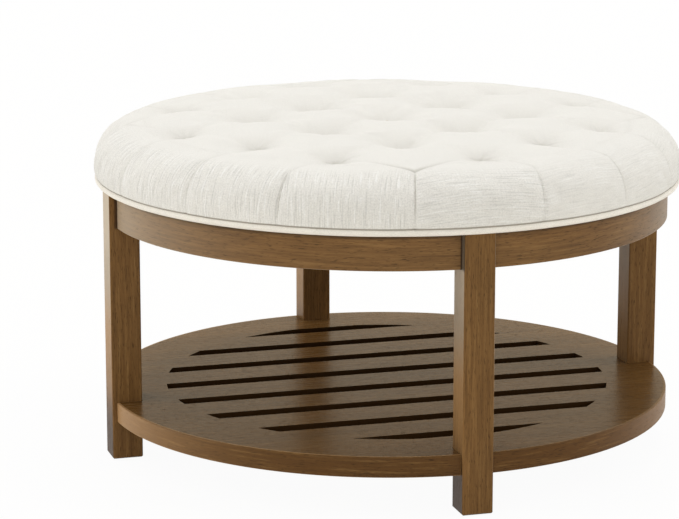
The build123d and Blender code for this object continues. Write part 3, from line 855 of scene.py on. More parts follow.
class CushionPlan:
    """Tufts, folds and pleats on the cushion laid flat, with their hand-made differences.

    The most that a tuft is out of place and that a pleat leans are in millimetres.
    """

    PLEAT_START = 356 * MM
    JOIN = 361 * MM
    PLEAT_LATE = 14 * MM
    FOLD_OVERRUN = 2 * MM
    MOST_SHIFT_MM = 1.5
    MOST_LEAN_MM = 8

    def __init__(self, sizes):
        chance = random.Random(sizes.seed)
        cells = tuft_cells()
        self.tufts = []
        for cell in cells:
            shift = [chance.uniform(-self.MOST_SHIFT_MM, self.MOST_SHIFT_MM) * MM for _ in range(2)]
            depth = chance.uniform(0.88, 1.12)
            wrinkles = [
                (chance.choice((5, 7, 9, 11)), chance.uniform(0, math.tau), chance.uniform(0.4, 1.0))
                for _ in range(3)
            ]
            place = grid_point(sizes, *cell) + np.array(shift)
            self.tufts.append({"at": place, "depth": depth, "wrinkles": wrinkles})
        places = {cell: tuft["at"] for cell, tuft in zip(cells, self.tufts)}
        self.folds = []
        for column, row in cells:
            for side in (-1, 1):
                if (column + side, row + 1) in places:
                    ends = places[(column, row)], places[(column + side, row + 1)]
                    crisp = chance.uniform(0.2, 1.3), chance.uniform(0.2, 1.3)
                    self.folds.append({"ends": ends, "crisp": crisp, "vary": None})
        self.pleats = []
        for angle, feeds in pleat_feeds().items():
            bearing = sizes.grid_turn - math.pi / 2 + math.radians(angle)
            top = self.JOIN if len(feeds) > 1 else self.PLEAT_START + self.PLEAT_LATE
            self.pleats.append({
                "bearing": bearing,
                "top": top,
                "lean": -chance.uniform(0.3, 1.0) * self.MOST_LEAN_MM * MM,
                "depth": chance.uniform(0.7, 1.2),
                "side": 1 if math.cos(bearing) > 0 else -1,
            })
            join = np.array((math.cos(bearing), math.sin(bearing))) * (top + self.FOLD_OVERRUN)
            vary = 0.25 if len(feeds) == 1 else 0.35 + 0.75 * abs(math.cos(math.radians(angle)))
            for cell in feeds:
                crisp = chance.uniform(0.2, 1.0), 0.0
                self.folds.append({"ends": (places[cell], join), "crisp": crisp, "vary": vary})


def fold_depth(points, fold, sizes):
    """How deep one fold lies below the smooth cushion, and the sharp groove along it."""
    fade, sharp_fade, pleat_fade = 24 * MM, 12 * MM, 36 * MM
    half_width, groove_width, groove_depth = 9 * MM, 1.9 * MM, 2.2 * MM
    first, last = fold["ends"]
    run = last - first
    length = np.linalg.norm(run)
    along = (points - first) @ (run / length)
    off = (points - first) @ (np.array((-run[1], run[0])) / length)
    inside = np.clip(along, 0.0, length)
    left = length - inside
    reach = np.hypot(off, along - inside)
    near_first, near_last = np.exp(-inside / fade), np.exp(-left / fade)
    sharp = fold["crisp"][0] * np.exp(-inside / sharp_fade)
    if fold["vary"] is None:
        sharp = sharp + fold["crisp"][1] * np.exp(-left / sharp_fade)
    else:
        near_last = fold["vary"] * 0.35 * near_last
        sharp = sharp + 1.5 * fold["vary"] * np.exp(-left / pleat_fade)
    depth = sizes.fold_middle + sizes.fold_depth * np.maximum(near_first, near_last)
    soft = depth * np.exp(-((reach / half_width) ** 1.6))
    return soft, groove_depth * sharp * np.exp(-reach / groove_width)


def tuft_depth(points, tuft, sizes):
    """One tuft's bowl, its share of painted shade in the bowl and along its slit, and its share of the sag
    round it.
    """
    half_slit, slit_fade, crease_shade_width, sag_reach = 10 * MM, 4 * MM, 5 * MM, 46 * MM
    wrinkle_depth, wrinkle_ring, wrinkle_width = 0.35 * MM, 18 * MM, 12 * MM
    off = points - tuft["at"]
    away = from_middle(off)
    bearing = np.arctan2(off[:, 1], off[:, 0])
    from_row = bearing - sizes.grid_turn
    outer = smooth_ramp(np.hypot(*tuft["at"]), 180 * MM, 300 * MM)
    square = (np.cos(from_row) ** 6 + np.sin(from_row) ** 6) ** (1 / 6)
    wide = np.exp(-((away * square / (sizes.tuft_reach * (1 - 0.14 * outer))) ** 1.9))
    past_slit = np.maximum(np.abs(away * np.cos(from_row)) - half_slit, 0.0)
    pinch = np.hypot(past_slit, away * np.sin(from_row))
    depth = sizes.tuft_depth * tuft["depth"] * (1 - 0.42 * outer)
    bowl = depth * (0.84 * wide + 0.16 * np.exp(-pinch / slit_fade))
    ripple = sum(size * np.cos(count * (bearing - start)) for count, start, size in tuft["wrinkles"])
    near_ring = np.exp(-(((away - wrinkle_ring) / wrinkle_width) ** 2))
    bowl = bowl + wrinkle_depth * ripple * near_ring
    # Painted shade: darker over the bowl and along the slit
    crease = 0.20 * wide + 0.2 * np.exp(-((pinch / crease_shade_width) ** 2))
    return np.maximum(bowl, 0.0), crease, np.exp(-((away / sag_reach) ** 2))


def pleat_run(distance, pleat, profile):
    """How far down a pleat a point is, as a share, and how far the pleat leans there."""
    down = (distance - pleat["top"]) / (profile.foot - pleat["top"])
    return down, pleat["lean"] * np.sin(np.clip(down, 0, 1) * math.pi / 2)


def pleat_place(points, pleat, profile):
    """How far off a pleat each point on the cushion laid flat is, and how far down it."""
    distance = from_middle(points)
    turn = nearest_turn(np.arctan2(points[:, 1], points[:, 0]) - pleat["bearing"])
    down, lean = pleat_run(distance, pleat, profile)
    return profile.at(distance)[0] * turn - lean, down


def side_relief(points, sizes, profile, plan):
    """How far each point stands in at the pleats or out between them, and its share of painted shade in
    pleats and seam.
    """
    sharp_width, soft_width, lap_width, crease_shade_width = 1.2 * MM, 7 * MM, 9 * MM, 0.8 * MM
    half_panel = 75 * MM
    distance = from_middle(points)
    side = smooth_ramp(distance, plan.PLEAT_START, plan.PLEAT_START + 45 * MM)
    foot = smooth_ramp(distance, profile.foot - 40 * MM, profile.foot)
    relief = np.zeros(len(points))
    crease_shades = np.zeros(len(points))
    gap = np.ones(len(points))
    for pleat in plan.pleats:
        off, _ = pleat_place(points, pleat, profile)
        away = np.abs(off)
        start = smooth_ramp(distance, pleat["top"] - 6 * MM, pleat["top"] + 22 * MM)
        fade = start * (1 - 0.6 * foot)
        groove = 0.7 * np.exp(-away / sharp_width) + 0.3 * np.exp(-away / soft_width)
        lap = np.where(off * pleat["side"] > 0, np.exp(-away / lap_width), 0.0)
        relief += fade * (sizes.pleat_depth * pleat["depth"] * groove + sizes.pleat_lap * lap)
        # Painted shade along the pleat's groove
        crease_shades = np.maximum(crease_shades, fade * pleat["depth"] * 0.36 * np.exp(-away / crease_shade_width))
        gap = np.minimum(gap, away / half_panel)
    swell = side * (1 - 0.6 * foot)
    relief -= sizes.panel_bulge * swell * (np.sin(gap * math.pi / 2) ** 0.8 - 0.6)
    # Painted shade in the seam under the hem's roll
    seam = smooth_ramp(distance, profile.foot - 1.6 * MM, profile.foot - 0.6 * MM)
    return relief, np.maximum(crease_shades, seam)


def cushion_relief(points, sizes, profile, plan):
    """How far each point stands in from the smooth cushion, and its share of painted shade."""
    power = 3.0
    groove_for_full_shade = 4 * MM
    pulls = np.zeros(len(points))
    crease_shades = np.zeros(len(points))
    sags = np.zeros(len(points))
    for tuft in plan.tufts:
        bowl, crease, sag = tuft_depth(points, tuft, sizes)
        pulls += bowl**power
        crease_shades = np.maximum(crease_shades, crease)
        sags += sag
    grooves = np.zeros(len(points))
    for fold in plan.folds:
        soft, groove = fold_depth(points, fold, sizes)
        pulls += soft**power
        grooves = np.maximum(grooves, groove)
    distance = from_middle(points)
    shallow = 1 - 0.75 * smooth_ramp(distance, 318 * MM, 350 * MM)
    relief = pulls ** (1 / power) * shallow + grooves
    relief += sizes.sag * (1 - smooth_ramp(distance, 100 * MM, 300 * MM)) * sags
    relief += sizes.crown_drop * (1 - smooth_ramp(distance, 100 * MM, 250 * MM))
    shoulder = smooth_ramp(distance, 345 * MM, 380 * MM) * (1 - smooth_ramp(distance, 390 * MM, 430 * MM))
    relief -= sizes.shoulder_fullness * shoulder
    side, side_crease_shades = side_relief(points, sizes, profile, plan)
    # Painted shade in the fold grooves, full where a groove is deep
    crease_shades = np.maximum(crease_shades, np.clip(grooves / groove_for_full_shade, 0, 0.6))
    return relief + side, np.maximum(crease_shades, side_crease_shades)


def plain_rings(sizes, profile):
    """Points of plain cloth on rings from the hem to the middle, closer and in line at the rim."""
    rim_count = 640
    points = []
    ring = profile.length
    while ring > sizes.spacing / 2:
        near_rim = ring > profile.foot - 8 * MM
        count = rim_count if near_rim else max(6, round(math.tau * ring / sizes.spacing))
        phase = 0.0 if near_rim else random.Random(round(ring / MM)).uniform(0, 1)
        for step in range(count):
            turn = math.tau * (step + phase) / count
            points.append((ring * math.cos(turn), ring * math.sin(turn)))
        ring -= sizes.spacing * (0.3 if near_rim else 1.0) * 0.9
    return np.array(points)


def flat_points(sizes, profile, plan):
    """Mesh points on the cushion laid flat, closer together at tufts, folds and pleats."""
    bowl_reach, bowl_step, fold_step, pleat_step = 44 * MM, 1.3 * MM, 3.2 * MM, 3.0 * MM
    fold_lines = (-4.5, -2.0, 0.0, 2.0, 4.5)
    pleat_lines = (-6.5, -3.6, -1.8, -0.8, 0.0, 0.8, 1.8, 3.6, 6.5)
    rim = profile.foot - 9 * MM
    points = plain_rings(sizes, profile)
    on_rim = from_middle(points) > rim
    keep = np.ones(len(points), bool)
    radii = [bowl_step]
    while radii[-1] < bowl_reach:
        radii.append(radii[-1] * 1.2 + 0.45 * MM)
    bowls = []
    for tuft in plan.tufts:
        keep &= (from_middle(points - tuft["at"]) > radii[-1] + 1.5 * MM) | on_rim
        bowls.append(tuft["at"][None, :])
        for number, radius in enumerate(radii):
            count = min(72, max(12, round(math.tau * radius / bowl_step)))
            turns = (np.arange(count) + 0.5 * (number % 2)) * math.tau / count
            bowls.append(tuft["at"] + radius * spokes(turns))
    bowls = np.concatenate(bowls)

    lines = []
    bowl_edge = radii[-1] * 0.55
    for fold in plan.folds:
        first, last = fold["ends"]
        run = last - first
        length = np.linalg.norm(run)
        side = np.array((-run[1], run[0])) / length
        stop = bowl_edge if fold["vary"] is None else 6 * MM
        steps = np.arange(bowl_edge, length - stop, fold_step)
        for shift in fold_lines:
            lines.append(first + steps[:, None] * run / length + side * shift * MM)
    for pleat in plan.pleats:
        steps = np.arange(pleat["top"] - 6 * MM, rim, pleat_step)
        _, lean = pleat_run(steps, pleat, profile)
        for shift in pleat_lines:
            turns = pleat["bearing"] + (lean + shift * MM) / profile.at(steps)[0]
            lines.append(steps[:, None] * spokes(turns))
    lines = np.concatenate(lines)
    keep &= clear_of(points, lines, 3.0 * MM) | on_rim
    return np.concatenate((points[keep], bowls[clear_of(bowls, lines, 0.9 * MM)], lines))


def flat_tree(points):
    """A search tree of points on the cushion laid flat."""
    tree = KDTree(len(points))
    for number, (x, y) in enumerate(points):
        tree.insert((x, y, 0.0), number)
    tree.balance()
    return tree


def clear_of(points, others, gap):
    """True for each point that has none of the others closer than the gap."""
    tree = flat_tree(others)
    return np.array([tree.find((x, y, 0.0))[2] > gap for x, y in points])


def joined_flat(points):
    """Points on the cushion laid flat as the triangulation keeps them, and its faces."""
    made = delaunay_2d_cdt([tuple(point) for point in points], [], [], 0, 1e-7)
    return np.array([tuple(point) for point in made[0]]), [tuple(face) for face in made[2]]


def simulated_points(sizes, profile, plan):
    """Points laid flat for the simulated cloth: even rings, with points on every tuft and pleat."""
    gap = sizes.trial_spacing
    plain, fixed = [], []
    for number, ring in enumerate(np.arange(profile.foot, gap / 2, -gap)):
        count = max(6, round(math.tau * ring / gap))
        plain.append(ring * spokes((np.arange(count) + 0.5 * (number % 2)) * math.tau / count))
    for tuft in plan.tufts:
        fixed.append(tuft["at"][None, :])
        fixed.append(tuft["at"] + gap * 0.8 * spokes(np.arange(8) * math.tau / 8))
    for pleat in plan.pleats:
        steps = np.arange(pleat["top"], profile.foot - 2 * MM, gap)
        _, lean = pleat_run(steps, pleat, profile)
        fixed.append(steps[:, None] * spokes(pleat["bearing"] + lean / profile.at(steps)[0]))
    plain, fixed = np.concatenate(plain), np.concatenate(fixed)
    return np.concatenate((plain[clear_of(plain, fixed, gap * 0.55)], fixed))


def held_shares(points, profile, plan):
    """How firmly the cloth is held at each point: at the tufts, pleats and seam."""
    tuft_hold, pleat_hold = 17 * MM, 6 * MM
    held = smooth_ramp(from_middle(points), profile.foot - 14 * MM, profile.foot - 4 * MM)
    for tuft in plan.tufts:
        held = np.maximum(held, np.exp(-((from_middle(points - tuft["at"]) / tuft_hold) ** 2)))
    for pleat in plan.pleats:
        off, down = pleat_place(points, pleat, profile)
        held = np.maximum(held, smooth_ramp(down, 0.1, 0.45) * np.exp(-((off / pleat_hold) ** 2)))
    return held


def start_inset(points, sizes, profile, plan):
    """How far inside its form the cloth starts. Air pressure swells it out to the form."""
    free = 1 - held_shares(points, profile, plan)
    return sizes.inset * free * (1 - smooth_ramp(from_middle(points), 320 * MM, 440 * MM))


def cloth_swell(context, flat, sizes, profile, plan):
    """How far each point moves out when the cloth is blown up between its tufts, pleats and seam."""
    last_frame, neighbours = 20, 6
    places, faces = joined_flat(simulated_points(sizes, profile, plan))
    relief, _ = cushion_relief(places, sizes, profile, plan)
    relief += start_inset(places, sizes, profile, plan)
    start = cushion_surface(places, profile, relief)
    cloth = new_piece("simulated_cloth", start, faces)
    group = cloth.vertex_groups.new(name="held")
    for number, share in enumerate(held_shares(places, profile, plan)):
        group.add([number], float(share), "REPLACE")
    settings = cloth.modifiers.new("Cloth", "CLOTH").settings
    settings.vertex_group_mass = "held"
    settings.use_pressure = True
    settings.uniform_pressure_force = sizes.pressure
    settings.shrink_min = -sizes.slack
    settings.effector_weights.gravity = 0
    for step in range(1, last_frame + 1):
        context.scene.frame_set(step)
    moved = cloth.evaluated_get(context.evaluated_depsgraph_get()).data
    end = np.zeros(len(places) * 3)
    moved.vertices.foreach_get("co", end)
    context.scene.frame_set(1)
    bpy.data.objects.remove(cloth)

    outward = cushion_surface(places, profile, -1.0) - cushion_surface(places, profile, 0.0)
    swell = np.sum((end.reshape(-1, 3) - start) * outward, 1)
    swell = np.clip(swell, -sizes.most_swell / 2, sizes.most_swell)
    tree = flat_tree(places)
    result = []
    for x, y in flat:
        near = tree.find_n((x, y, 0.0), neighbours)
        weights = [1 / (away + 1 * MM) ** 2 for _, _, away in near]
        near_swell = sum(weight * swell[number] for weight, (_, number, _) in zip(weights, near))
        result.append(near_swell / sum(weights))
    return np.array(result)


def cushion_surface(flat, profile, relief):
    """Points in space for points on the cushion laid flat."""
    bearing = np.arctan2(flat[:, 1], flat[:, 0])
    radius, height, turn = profile.at(from_middle(flat))
    radius = radius - relief * np.cos(turn)
    height = height - relief * np.sin(turn)
    return np.stack((radius * np.cos(bearing), radius * np.sin(bearing), height), 1)


def new_piece(name, points, faces):
    """A smooth mesh object in the scene's collection."""
    mesh = bpy.data.meshes.new(name)
    mesh.from_pydata([tuple(point) for point in points], [], faces)
    mesh.validate()
    mesh.shade_smooth()
    piece = bpy.data.objects.new(name, mesh)
    bpy.context.collection.objects.link(piece)
    return piece


def finish_piece(piece, material):
    """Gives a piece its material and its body."""
    piece.data.materials.append(material)
    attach(piece, "root")


def close_below(points, faces, levels):
    """Adds rings under the rim, and a point in the middle, so that the cushion is closed."""
    edges = set()
    for face in faces:
        edges.update(zip(face, (*face[1:], face[0])))
    border = {first: last for first, last in edges if (last, first) not in edges}
    start = min(border)
    loop = [start]
    while border[loop[-1]] != start:
        loop.append(border[loop[-1]])
    rim = points[loop, :2]
    rings, added = [points], []
    previous, count = loop, len(points)
    for radius, height in levels:
        share = radius / from_middle(rim)
        rings.append(np.column_stack((rim * share[:, None], np.full(len(loop), height))))
        numbers = list(range(count, count + len(loop)))
        count += len(loop)
        for place, number in enumerate(numbers):
            after = (place + 1) % len(loop)
            added.append((previous[after], previous[place], number, numbers[after]))
        previous = numbers
    rings.append(np.array([[0.0, 0.0, levels[-1][1]]]))
    for place in range(len(loop)):
        added.append((previous[(place + 1) % len(loop)], previous[place], count))
    return np.concatenate(rings), [*faces, *added]


def store(mesh, name, kind, domain, values):
    """Stores values on a mesh under a name that its material reads."""
    field = "vector" if kind == "FLOAT_VECTOR" else "value"
    mesh.attributes.new(name, kind, domain).data.foreach_set(field, values.astype(np.float32).ravel())


def cloth_coordinates(mesh, flat, sizes, profile, plan):
    """Stores the cloth's own plane at each corner. The threads run straight down each panel."""
    mostly_warp, mostly_weft, crown_slubs = 0.9, 0.14, 0.12
    grid = sizes.grid_turn
    start = plan.PLEAT_START - 20 * MM
    corner_count, face_count = len(mesh.loops), len(mesh.polygons)
    vertex = np.zeros(corner_count, np.int32)
    mesh.loops.foreach_get("vertex_index", vertex)
    face_of = np.zeros(corner_count, np.int32)
    for polygon in mesh.polygons:
        face_of[polygon.loop_start:polygon.loop_start + polygon.loop_total] = polygon.index
    known = vertex < len(flat)
    place = np.zeros((corner_count, 2))
    place[known] = flat[vertex[known]]
    counts = np.bincount(face_of, minlength=face_count)
    centre = np.stack([np.bincount(face_of, way, face_count) / counts for way in place.T], 1)

    face_turn = (np.arctan2(centre[:, 1], centre[:, 0]) - grid) % math.tau
    edges = np.array(sorted((pleat["bearing"] - grid) % math.tau for pleat in plan.pleats))
    panel = np.searchsorted(edges, face_turn) % len(edges)
    low = edges[panel - 1]
    high = np.where(edges[panel] < low, edges[panel] + math.tau, edges[panel])
    middle = ((low + high) / 2)[face_of]
    distance = from_middle(place)
    turn = np.arctan2(place[:, 1], place[:, 0]) - grid
    off = nearest_turn(turn - middle)
    outside = distance > start
    across = np.where(outside, profile.at(distance)[0] * np.sin(off), distance * np.cos(turn))
    down = np.where(outside, start * np.cos(off) + distance - start, distance * np.sin(turn))
    plane = np.column_stack((across, down + panel[face_of], np.zeros(corner_count)))
    store(mesh, "cloth_plane", "FLOAT_VECTOR", "CORNER", plane)

    ahead = nearest_turn(middle + math.pi / 2)
    edge = smooth_ramp(distance, start + 12 * MM, start + 52 * MM)
    quarter = np.floor(ahead / (math.pi / 2)).astype(int)
    warp = np.where(quarter % 2, mostly_warp, mostly_weft)
    store(mesh, "warp_share", "FLOAT", "CORNER", 0.5 + (warp - 0.5) * edge)
    strong = np.where(np.abs(nearest_turn(ahead + math.radians(30))) < math.radians(60), 1.0, 0.5)
    slubs = crown_slubs + (strong - crown_slubs) * edge
    store(mesh, "slub_amount", "FLOAT", "CORNER", slubs)


class OTTOMAN_OT_cushion(bpy.types.Operator):
    """Builds the tufted cushion from its profile, tufts, folds and pleats"""

    bl_idname = "ottoman.cushion"
    bl_label = "Build Cushion"

    def execute(self, context):
        sizes = looks(context, "cushion")
        profile = CushionProfile(sizes, PIPING_HIGH.z - 1.1 * MM)
        plan = CushionPlan(sizes)
        flat, faces = joined_flat(flat_points(sizes, profile, plan))
        relief, crease_shades = cushion_relief(flat, sizes, profile, plan)
        distance = from_middle(flat)
        shoulder = smooth_ramp(distance, 290 * MM, 345 * MM)
        shoulder = shoulder * (1 - smooth_ramp(distance, 380 * MM, 420 * MM))
        inset = start_inset(flat, sizes, profile, plan)
        swell = cloth_swell(context, flat, sizes, profile, plan)
        relief += (inset - swell) * (1 - 0.75 * shoulder)
        points = cushion_surface(flat, profile, relief)
        gap = 0.6 * MM
        inner, floor = DECK_HIGH.x + gap, DECK_HIGH.z + gap
        levels = ((inner, PIPING_HIGH.z - 0.5 * MM), (inner, floor), (DECK_HIGH.x / 2, floor))
        points, faces = close_below(points, faces, levels)
        cushion = new_piece("tufted_cushion", points, faces)
        crease_shades = np.concatenate((crease_shades, np.zeros(len(points) - len(flat))))
        # Shares of painted shade in folds, pleats, bowls and the seam
        store(cushion.data, "crease", "FLOAT", "POINT", crease_shades)
        cloth_coordinates(cushion.data, flat, sizes, profile, plan)
        material = woven_cloth(
            "woven cover", sizes.colour, sizes.slub_colour, 1 / sizes.thread, crease=sizes.crease_shade_colour
        )
        finish_piece(cushion, material)
        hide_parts("cushion_cover", "seat_foam")
        return {"FINISHED"}


def ring_piece(name, outlines, segments, wobble):
    """A ring about the Z axis from closed outlines of radius and height. It wobbles in and out."""
    points, faces = [], []
    for outline in outlines:
        first, size = len(points), len(outline)
        for step in range(segments):
            turn = math.tau * step / segments
            shift = wobble(turn)
            here, there = first + step * size, first + (step + 1) % segments * size
            for corner, (radius, height) in enumerate(outline):
                after = (corner + 1) % size
                reach = radius + shift
                points.append((reach * math.cos(turn), reach * math.sin(turn), height))
                faces.append((here + corner, there + corner, there + after, here + after))
    return new_piece(name, points, faces)


def sewn_wobble(turn):
    """How far the piping is off its true circle at a turn."""
    return -0.25 * MM * (1 + 0.5 * math.sin(23 * turn) + 0.5 * math.sin(57 * turn + 1.0))


def stitches(name, places, length, thickness):
    """Short sewn threads, each a rounded strand that dips into the cloth at both ends."""
    points, faces = [], []
    sides, rings = 6, (-0.5, -0.3, 0.0, 0.3, 0.5)
    for centre, run, out in places:
        across = run.cross(out)
        first = len(points)
        for share in rings:
            swell = thickness / 2 * math.sqrt(max(0.02, 1 - (2 * share) ** 2))
            middle = centre + run * (share * length) - out * (thickness * (2 * share) ** 2 * 0.8)
            for side in range(sides):
                turn = math.tau * side / sides
                points.append(middle + swell * (across * math.cos(turn) + out * math.sin(turn)))
        for ring in range(len(rings) - 1):
            low = first + ring * sides
            for side in range(sides):
                after = (side + 1) % sides
                faces.append((low + side, low + after, low + sides + after, low + sides + side))
        faces.append(tuple(first + side for side in reversed(range(sides))))
        last = first + (len(rings) - 1) * sides
        faces.append(tuple(last + side for side in range(sides)))
    return new_piece(name, points, faces)


class OTTOMAN_OT_piping(bpy.types.Operator):
    """Builds the piping, its sewn flange and the stitches of the seam above it"""

    bl_idname = "ottoman.piping"
    bl_label = "Build Piping"

    def execute(self, context):
        sizes = looks(context, "piping")
        cord_radius = 4.5 * MM
        drop = 1.4 * MM
        middle = Vector((PIPING_HIGH.x - cord_radius, PIPING_HIGH.z - cord_radius - drop))
        corners, segments = 20, 720
        cord = [
            (middle.x + cord_radius * math.cos(math.tau * step / corners),
             middle.y + cord_radius * math.sin(math.tau * step / corners))
            for step in range(corners)
        ]
        flange_thickness = 1 * MM
        inner = APRON_HIGH.x - 15 * MM
        low, high = PIPING_LOW.z, PIPING_LOW.z + flange_thickness
        flange = [(inner, low), (middle.x, low), (middle.x, high), (inner, high)]
        cloth_piece = ring_piece("piping_cord", (cord, flange), segments, sewn_wobble)
        material = woven_cloth("woven piping", sizes.colour, sizes.colour, 1150.0, slub_amount=0.5)
        finish_piece(cloth_piece, material)
        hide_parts("piping")

        seam_out, seam_up, stitch_slope = 1.6 * MM, 0.15 * MM, 0.06
        seam_radius = middle.x + seam_out
        seam_height = PIPING_HIGH.z + seam_up - drop
        number = round(math.tau * seam_radius / sizes.stitch_pitch)
        places = []
        for step in range(number):
            turn = math.tau * step / number
            outward = Vector((math.cos(turn), math.sin(turn), 0.0))
            centre = outward * seam_radius + Vector((0.0, 0.0, seam_height))
            run = Vector((-math.sin(turn), math.cos(turn), stitch_slope)).normalized()
            places.append((centre, run, (outward * 0.5 + Vector((0, 0, 1))).normalized()))
        seam = stitches("piping_seam_stitches", places, sizes.stitch_length, sizes.stitch_thickness)
        thread = speckled("sewing thread", sizes.thread_colour, (0.5, 0.47, 0.4), 0.8, grains=2600.0)
        finish_piece(seam, thread)
        return {"FINISHED"}


def dress(nodes, material):
    """Gives CAD nodes a finished material. Their shape stays."""
    for name in nodes:
        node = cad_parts[name]
        node.data.materials.clear()
        node.data.materials.append(material)


def nodes_named(*starts):
    """The CAD nodes whose names start with one of these."""
    return [name for name in sorted(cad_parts) if name.startswith(starts)]


class OTTOMAN_OT_wood(bpy.types.Operator):
    """Stains the legs, aprons and shelf, with the grain along each piece, and paints sheen and shade on
    them
    """

    bl_idname = "ottoman.wood"
    bl_label = "Finish Wood"

    def execute(self, context):
        wood = looks(context, "wood")
        legs = stained_wood("stained legs", wood, "Z", wood.stain, painted_sheen=(0.70, 0.3), extra=leg_joint_shade)
        dress(nodes_named("leg_right", "leg_left", "leg_back", "leg_front"), legs)
        # Painted sheen, stronger and starting sooner on the left pieces than on the right ones
        painted_sheens = (("left", (0.52, 0.02), (0.7, 0.02)), ("right", (0.24, 0.3), (0.3, 0.3)))
        for side, rail_sheen, band_sheen in painted_sheens:
            rails = stained_wood(
                f"stained {side} aprons", wood, "arc", wood.stain, gloss=0.42, specular=0.2, painted_sheen=rail_sheen,
                extra=rail_joint_shade_and_piping_shadow,
            )
            dress(nodes_named(f"apron_front_{side}", f"apron_back_{side}"), rails)
            band = stained_wood(f"stained {side} shelf band", wood, "arc", wood.band_stain, painted_sheen=band_sheen)
            dress(nodes_named(f"shelf_band_front_{side}", f"shelf_band_back_{side}"), band)
        board = stained_wood(
            "shelf veneer", wood, "X", wood.shelf_stain_and_shade, contrast=0.7, gloss=0.27, specular=0.05,
            extra=shelf_stain_and_shade,
        )
        dress(["shelf_board"], board)
        return {"FINISHED"}


class OTTOMAN_OT_seat_core(bpy.types.Operator):
    """Finishes the deck, dust cover, ties and blocks inside the seat"""

    bl_idname = "ottoman.seat_core"
    bl_label = "Finish Seat Core"

    def execute(self, context):
        faces = ((0.62, 0.44, 0.26), (0.42, 0.27, 0.14), (0.76, 0.59, 0.38))
        dress(["seat_deck"], plywood("deck plywood", *faces, glue=(0.30, 0.18, 0.09), ply=1.8 * MM))
        dust = woven_cloth("dust cloth", (0.02, 0.02, 0.021), (0.05, 0.05, 0.05), 900.0, relief=0.4)
        dress(["dust_cover"], dust)
        twine = speckled("twine", (0.62, 0.55, 0.42), (0.42, 0.35, 0.25), 0.85, grains=1800.0)
        dress(["tuft_twines"], twine)
        retainer = speckled("retainer plastic", (0.75, 0.75, 0.72), (0.6, 0.6, 0.57), 0.45)
        dress(["tuft_retainers"], retainer)
        pine = ((0.66, 0.47, 0.27), (0.45, 0.28, 0.13), (0.78, 0.62, 0.41))
        dress(nodes_named("corner_block_"), plain_timber("plain block", "X", *pine))
        beech = ((0.62, 0.42, 0.25), (0.47, 0.29, 0.16), (0.72, 0.53, 0.34))
        dress(["rail_dowels"], plain_timber("plain dowel", "arc", *beech))
        return {"FINISHED"}


class OTTOMAN_OT_hardware(bpy.types.Operator):
    """Finishes the brackets, screws, bolts and foot glides"""

    bl_idname = "ottoman.hardware"
    bl_label = "Finish Hardware"

    def execute(self, context):
        zinc = speckled("zinc plate", (0.62, 0.63, 0.64), (0.42, 0.43, 0.45), 0.34, 900.0, metallic=1.0)
        plated = ("leg_bolt", "block_screws", "deck_screws", "bracket_screws", "shelf_screws")
        dress(nodes_named(*plated), zinc)
        steel = speckled("bracket steel", (0.20, 0.20, 0.21), (0.34, 0.34, 0.35), 0.42, 700.0, metallic=1.0)
        dress(nodes_named("shelf_bracket_"), steel)
        glide = speckled("glide plastic", (0.045, 0.035, 0.028), (0.09, 0.08, 0.07), 0.55)
        dress(nodes_named("foot_glide_"), glide)
        return {"FINISHED"}


def lamp(name, toward, strength, spread, colour=(1.0, 1.0, 1.0)):
    """Light from far away, soft like that of a large screen. The spread is in degrees."""
    data = bpy.data.lights.new(name, "SUN")
    data.energy = strength
    data.angle = math.radians(spread)
    data.color = colour
    item = bpy.data.objects.new(name, data)
    item.rotation_mode = "QUATERNION"
    item.rotation_quaternion = Vector(toward).to_track_quat("-Z", "Y")
    bpy.context.collection.objects.link(item)


def past_object(nodes):
    """Masks of what a gloss sees, and of what the camera, a gloss or a clear piece sees."""
    path = nodes.add("ShaderNodeLightPath").outputs
    seen = nodes.math("MAXIMUM", path["Is Camera Ray"], path["Is Glossy Ray"])
    return path["Is Glossy Ray"], nodes.math("MAXIMUM", seen, path["Is Transmission Ray"])


def stage_world(sky):
    """Even light, with plain white where the camera or a clear piece sees past the object, and warm white
    where a gloss does.
    """
    world = bpy.data.worlds.new("studio")
    bpy.context.scene.world = world
    world.use_nodes = True
    nodes = Nodes(world.node_tree)
    back = world.node_tree.nodes["Background"]
    glossy, seen = past_object(nodes)
    white, warm = (1.0, 1.0, 1.0), (1.0, 0.94, 0.76)
    nodes.feed(back.inputs["Color"], nodes.blend(glossy, opaque(white), opaque(warm)))
    nodes.feed(back.inputs["Strength"], nodes.math("MAXIMUM", seen, sky))


def stage_floor():
    """A wide pale floor that shows as white and keeps part of the object's shadow."""
    reach, segments = 9.0, 24
    white_share = 0.955
    sheet = bmesh.new()
    bmesh.ops.create_grid(sheet, x_segments=segments, y_segments=segments, size=reach)
    mesh = bpy.data.meshes.new("studio_floor")
    sheet.to_mesh(mesh)
    sheet.free()
    floor = bpy.data.objects.new("studio_floor", mesh)
    bpy.context.collection.objects.link(floor)
    floor.location.z = -0.2 * MM
    material, nodes, shader = new_material("studio floor")
    fine = nodes.noise(nodes.place(), (3.0, 3.0, 3.0))
    pale, paler = (0.84, 0.82, 0.77), (0.86, 0.84, 0.79)
    nodes.feed(shader.inputs["Base Color"], nodes.blend(fine, opaque(pale), opaque(paler)))
    shader.inputs["Roughness"].default_value = 0.9
    shader.inputs["Specular IOR Level"].default_value = 0.0
    white = nodes.add("ShaderNodeEmission", {"Color": (1.0, 1.0, 1.0, 1.0), "Strength": 1.0}).outputs[0]
    _, seen = past_object(nodes)
    share = nodes.times(seen, white_share)
    mixed = nodes.add("ShaderNodeMixShader", {0: share, 1: shader.outputs[0], 2: white}).outputs[0]
    output = next(node for node in material.node_tree.nodes if node.type == "OUTPUT_MATERIAL")
    nodes.feed(output.inputs["Surface"], mixed)
    mesh.materials.append(material)


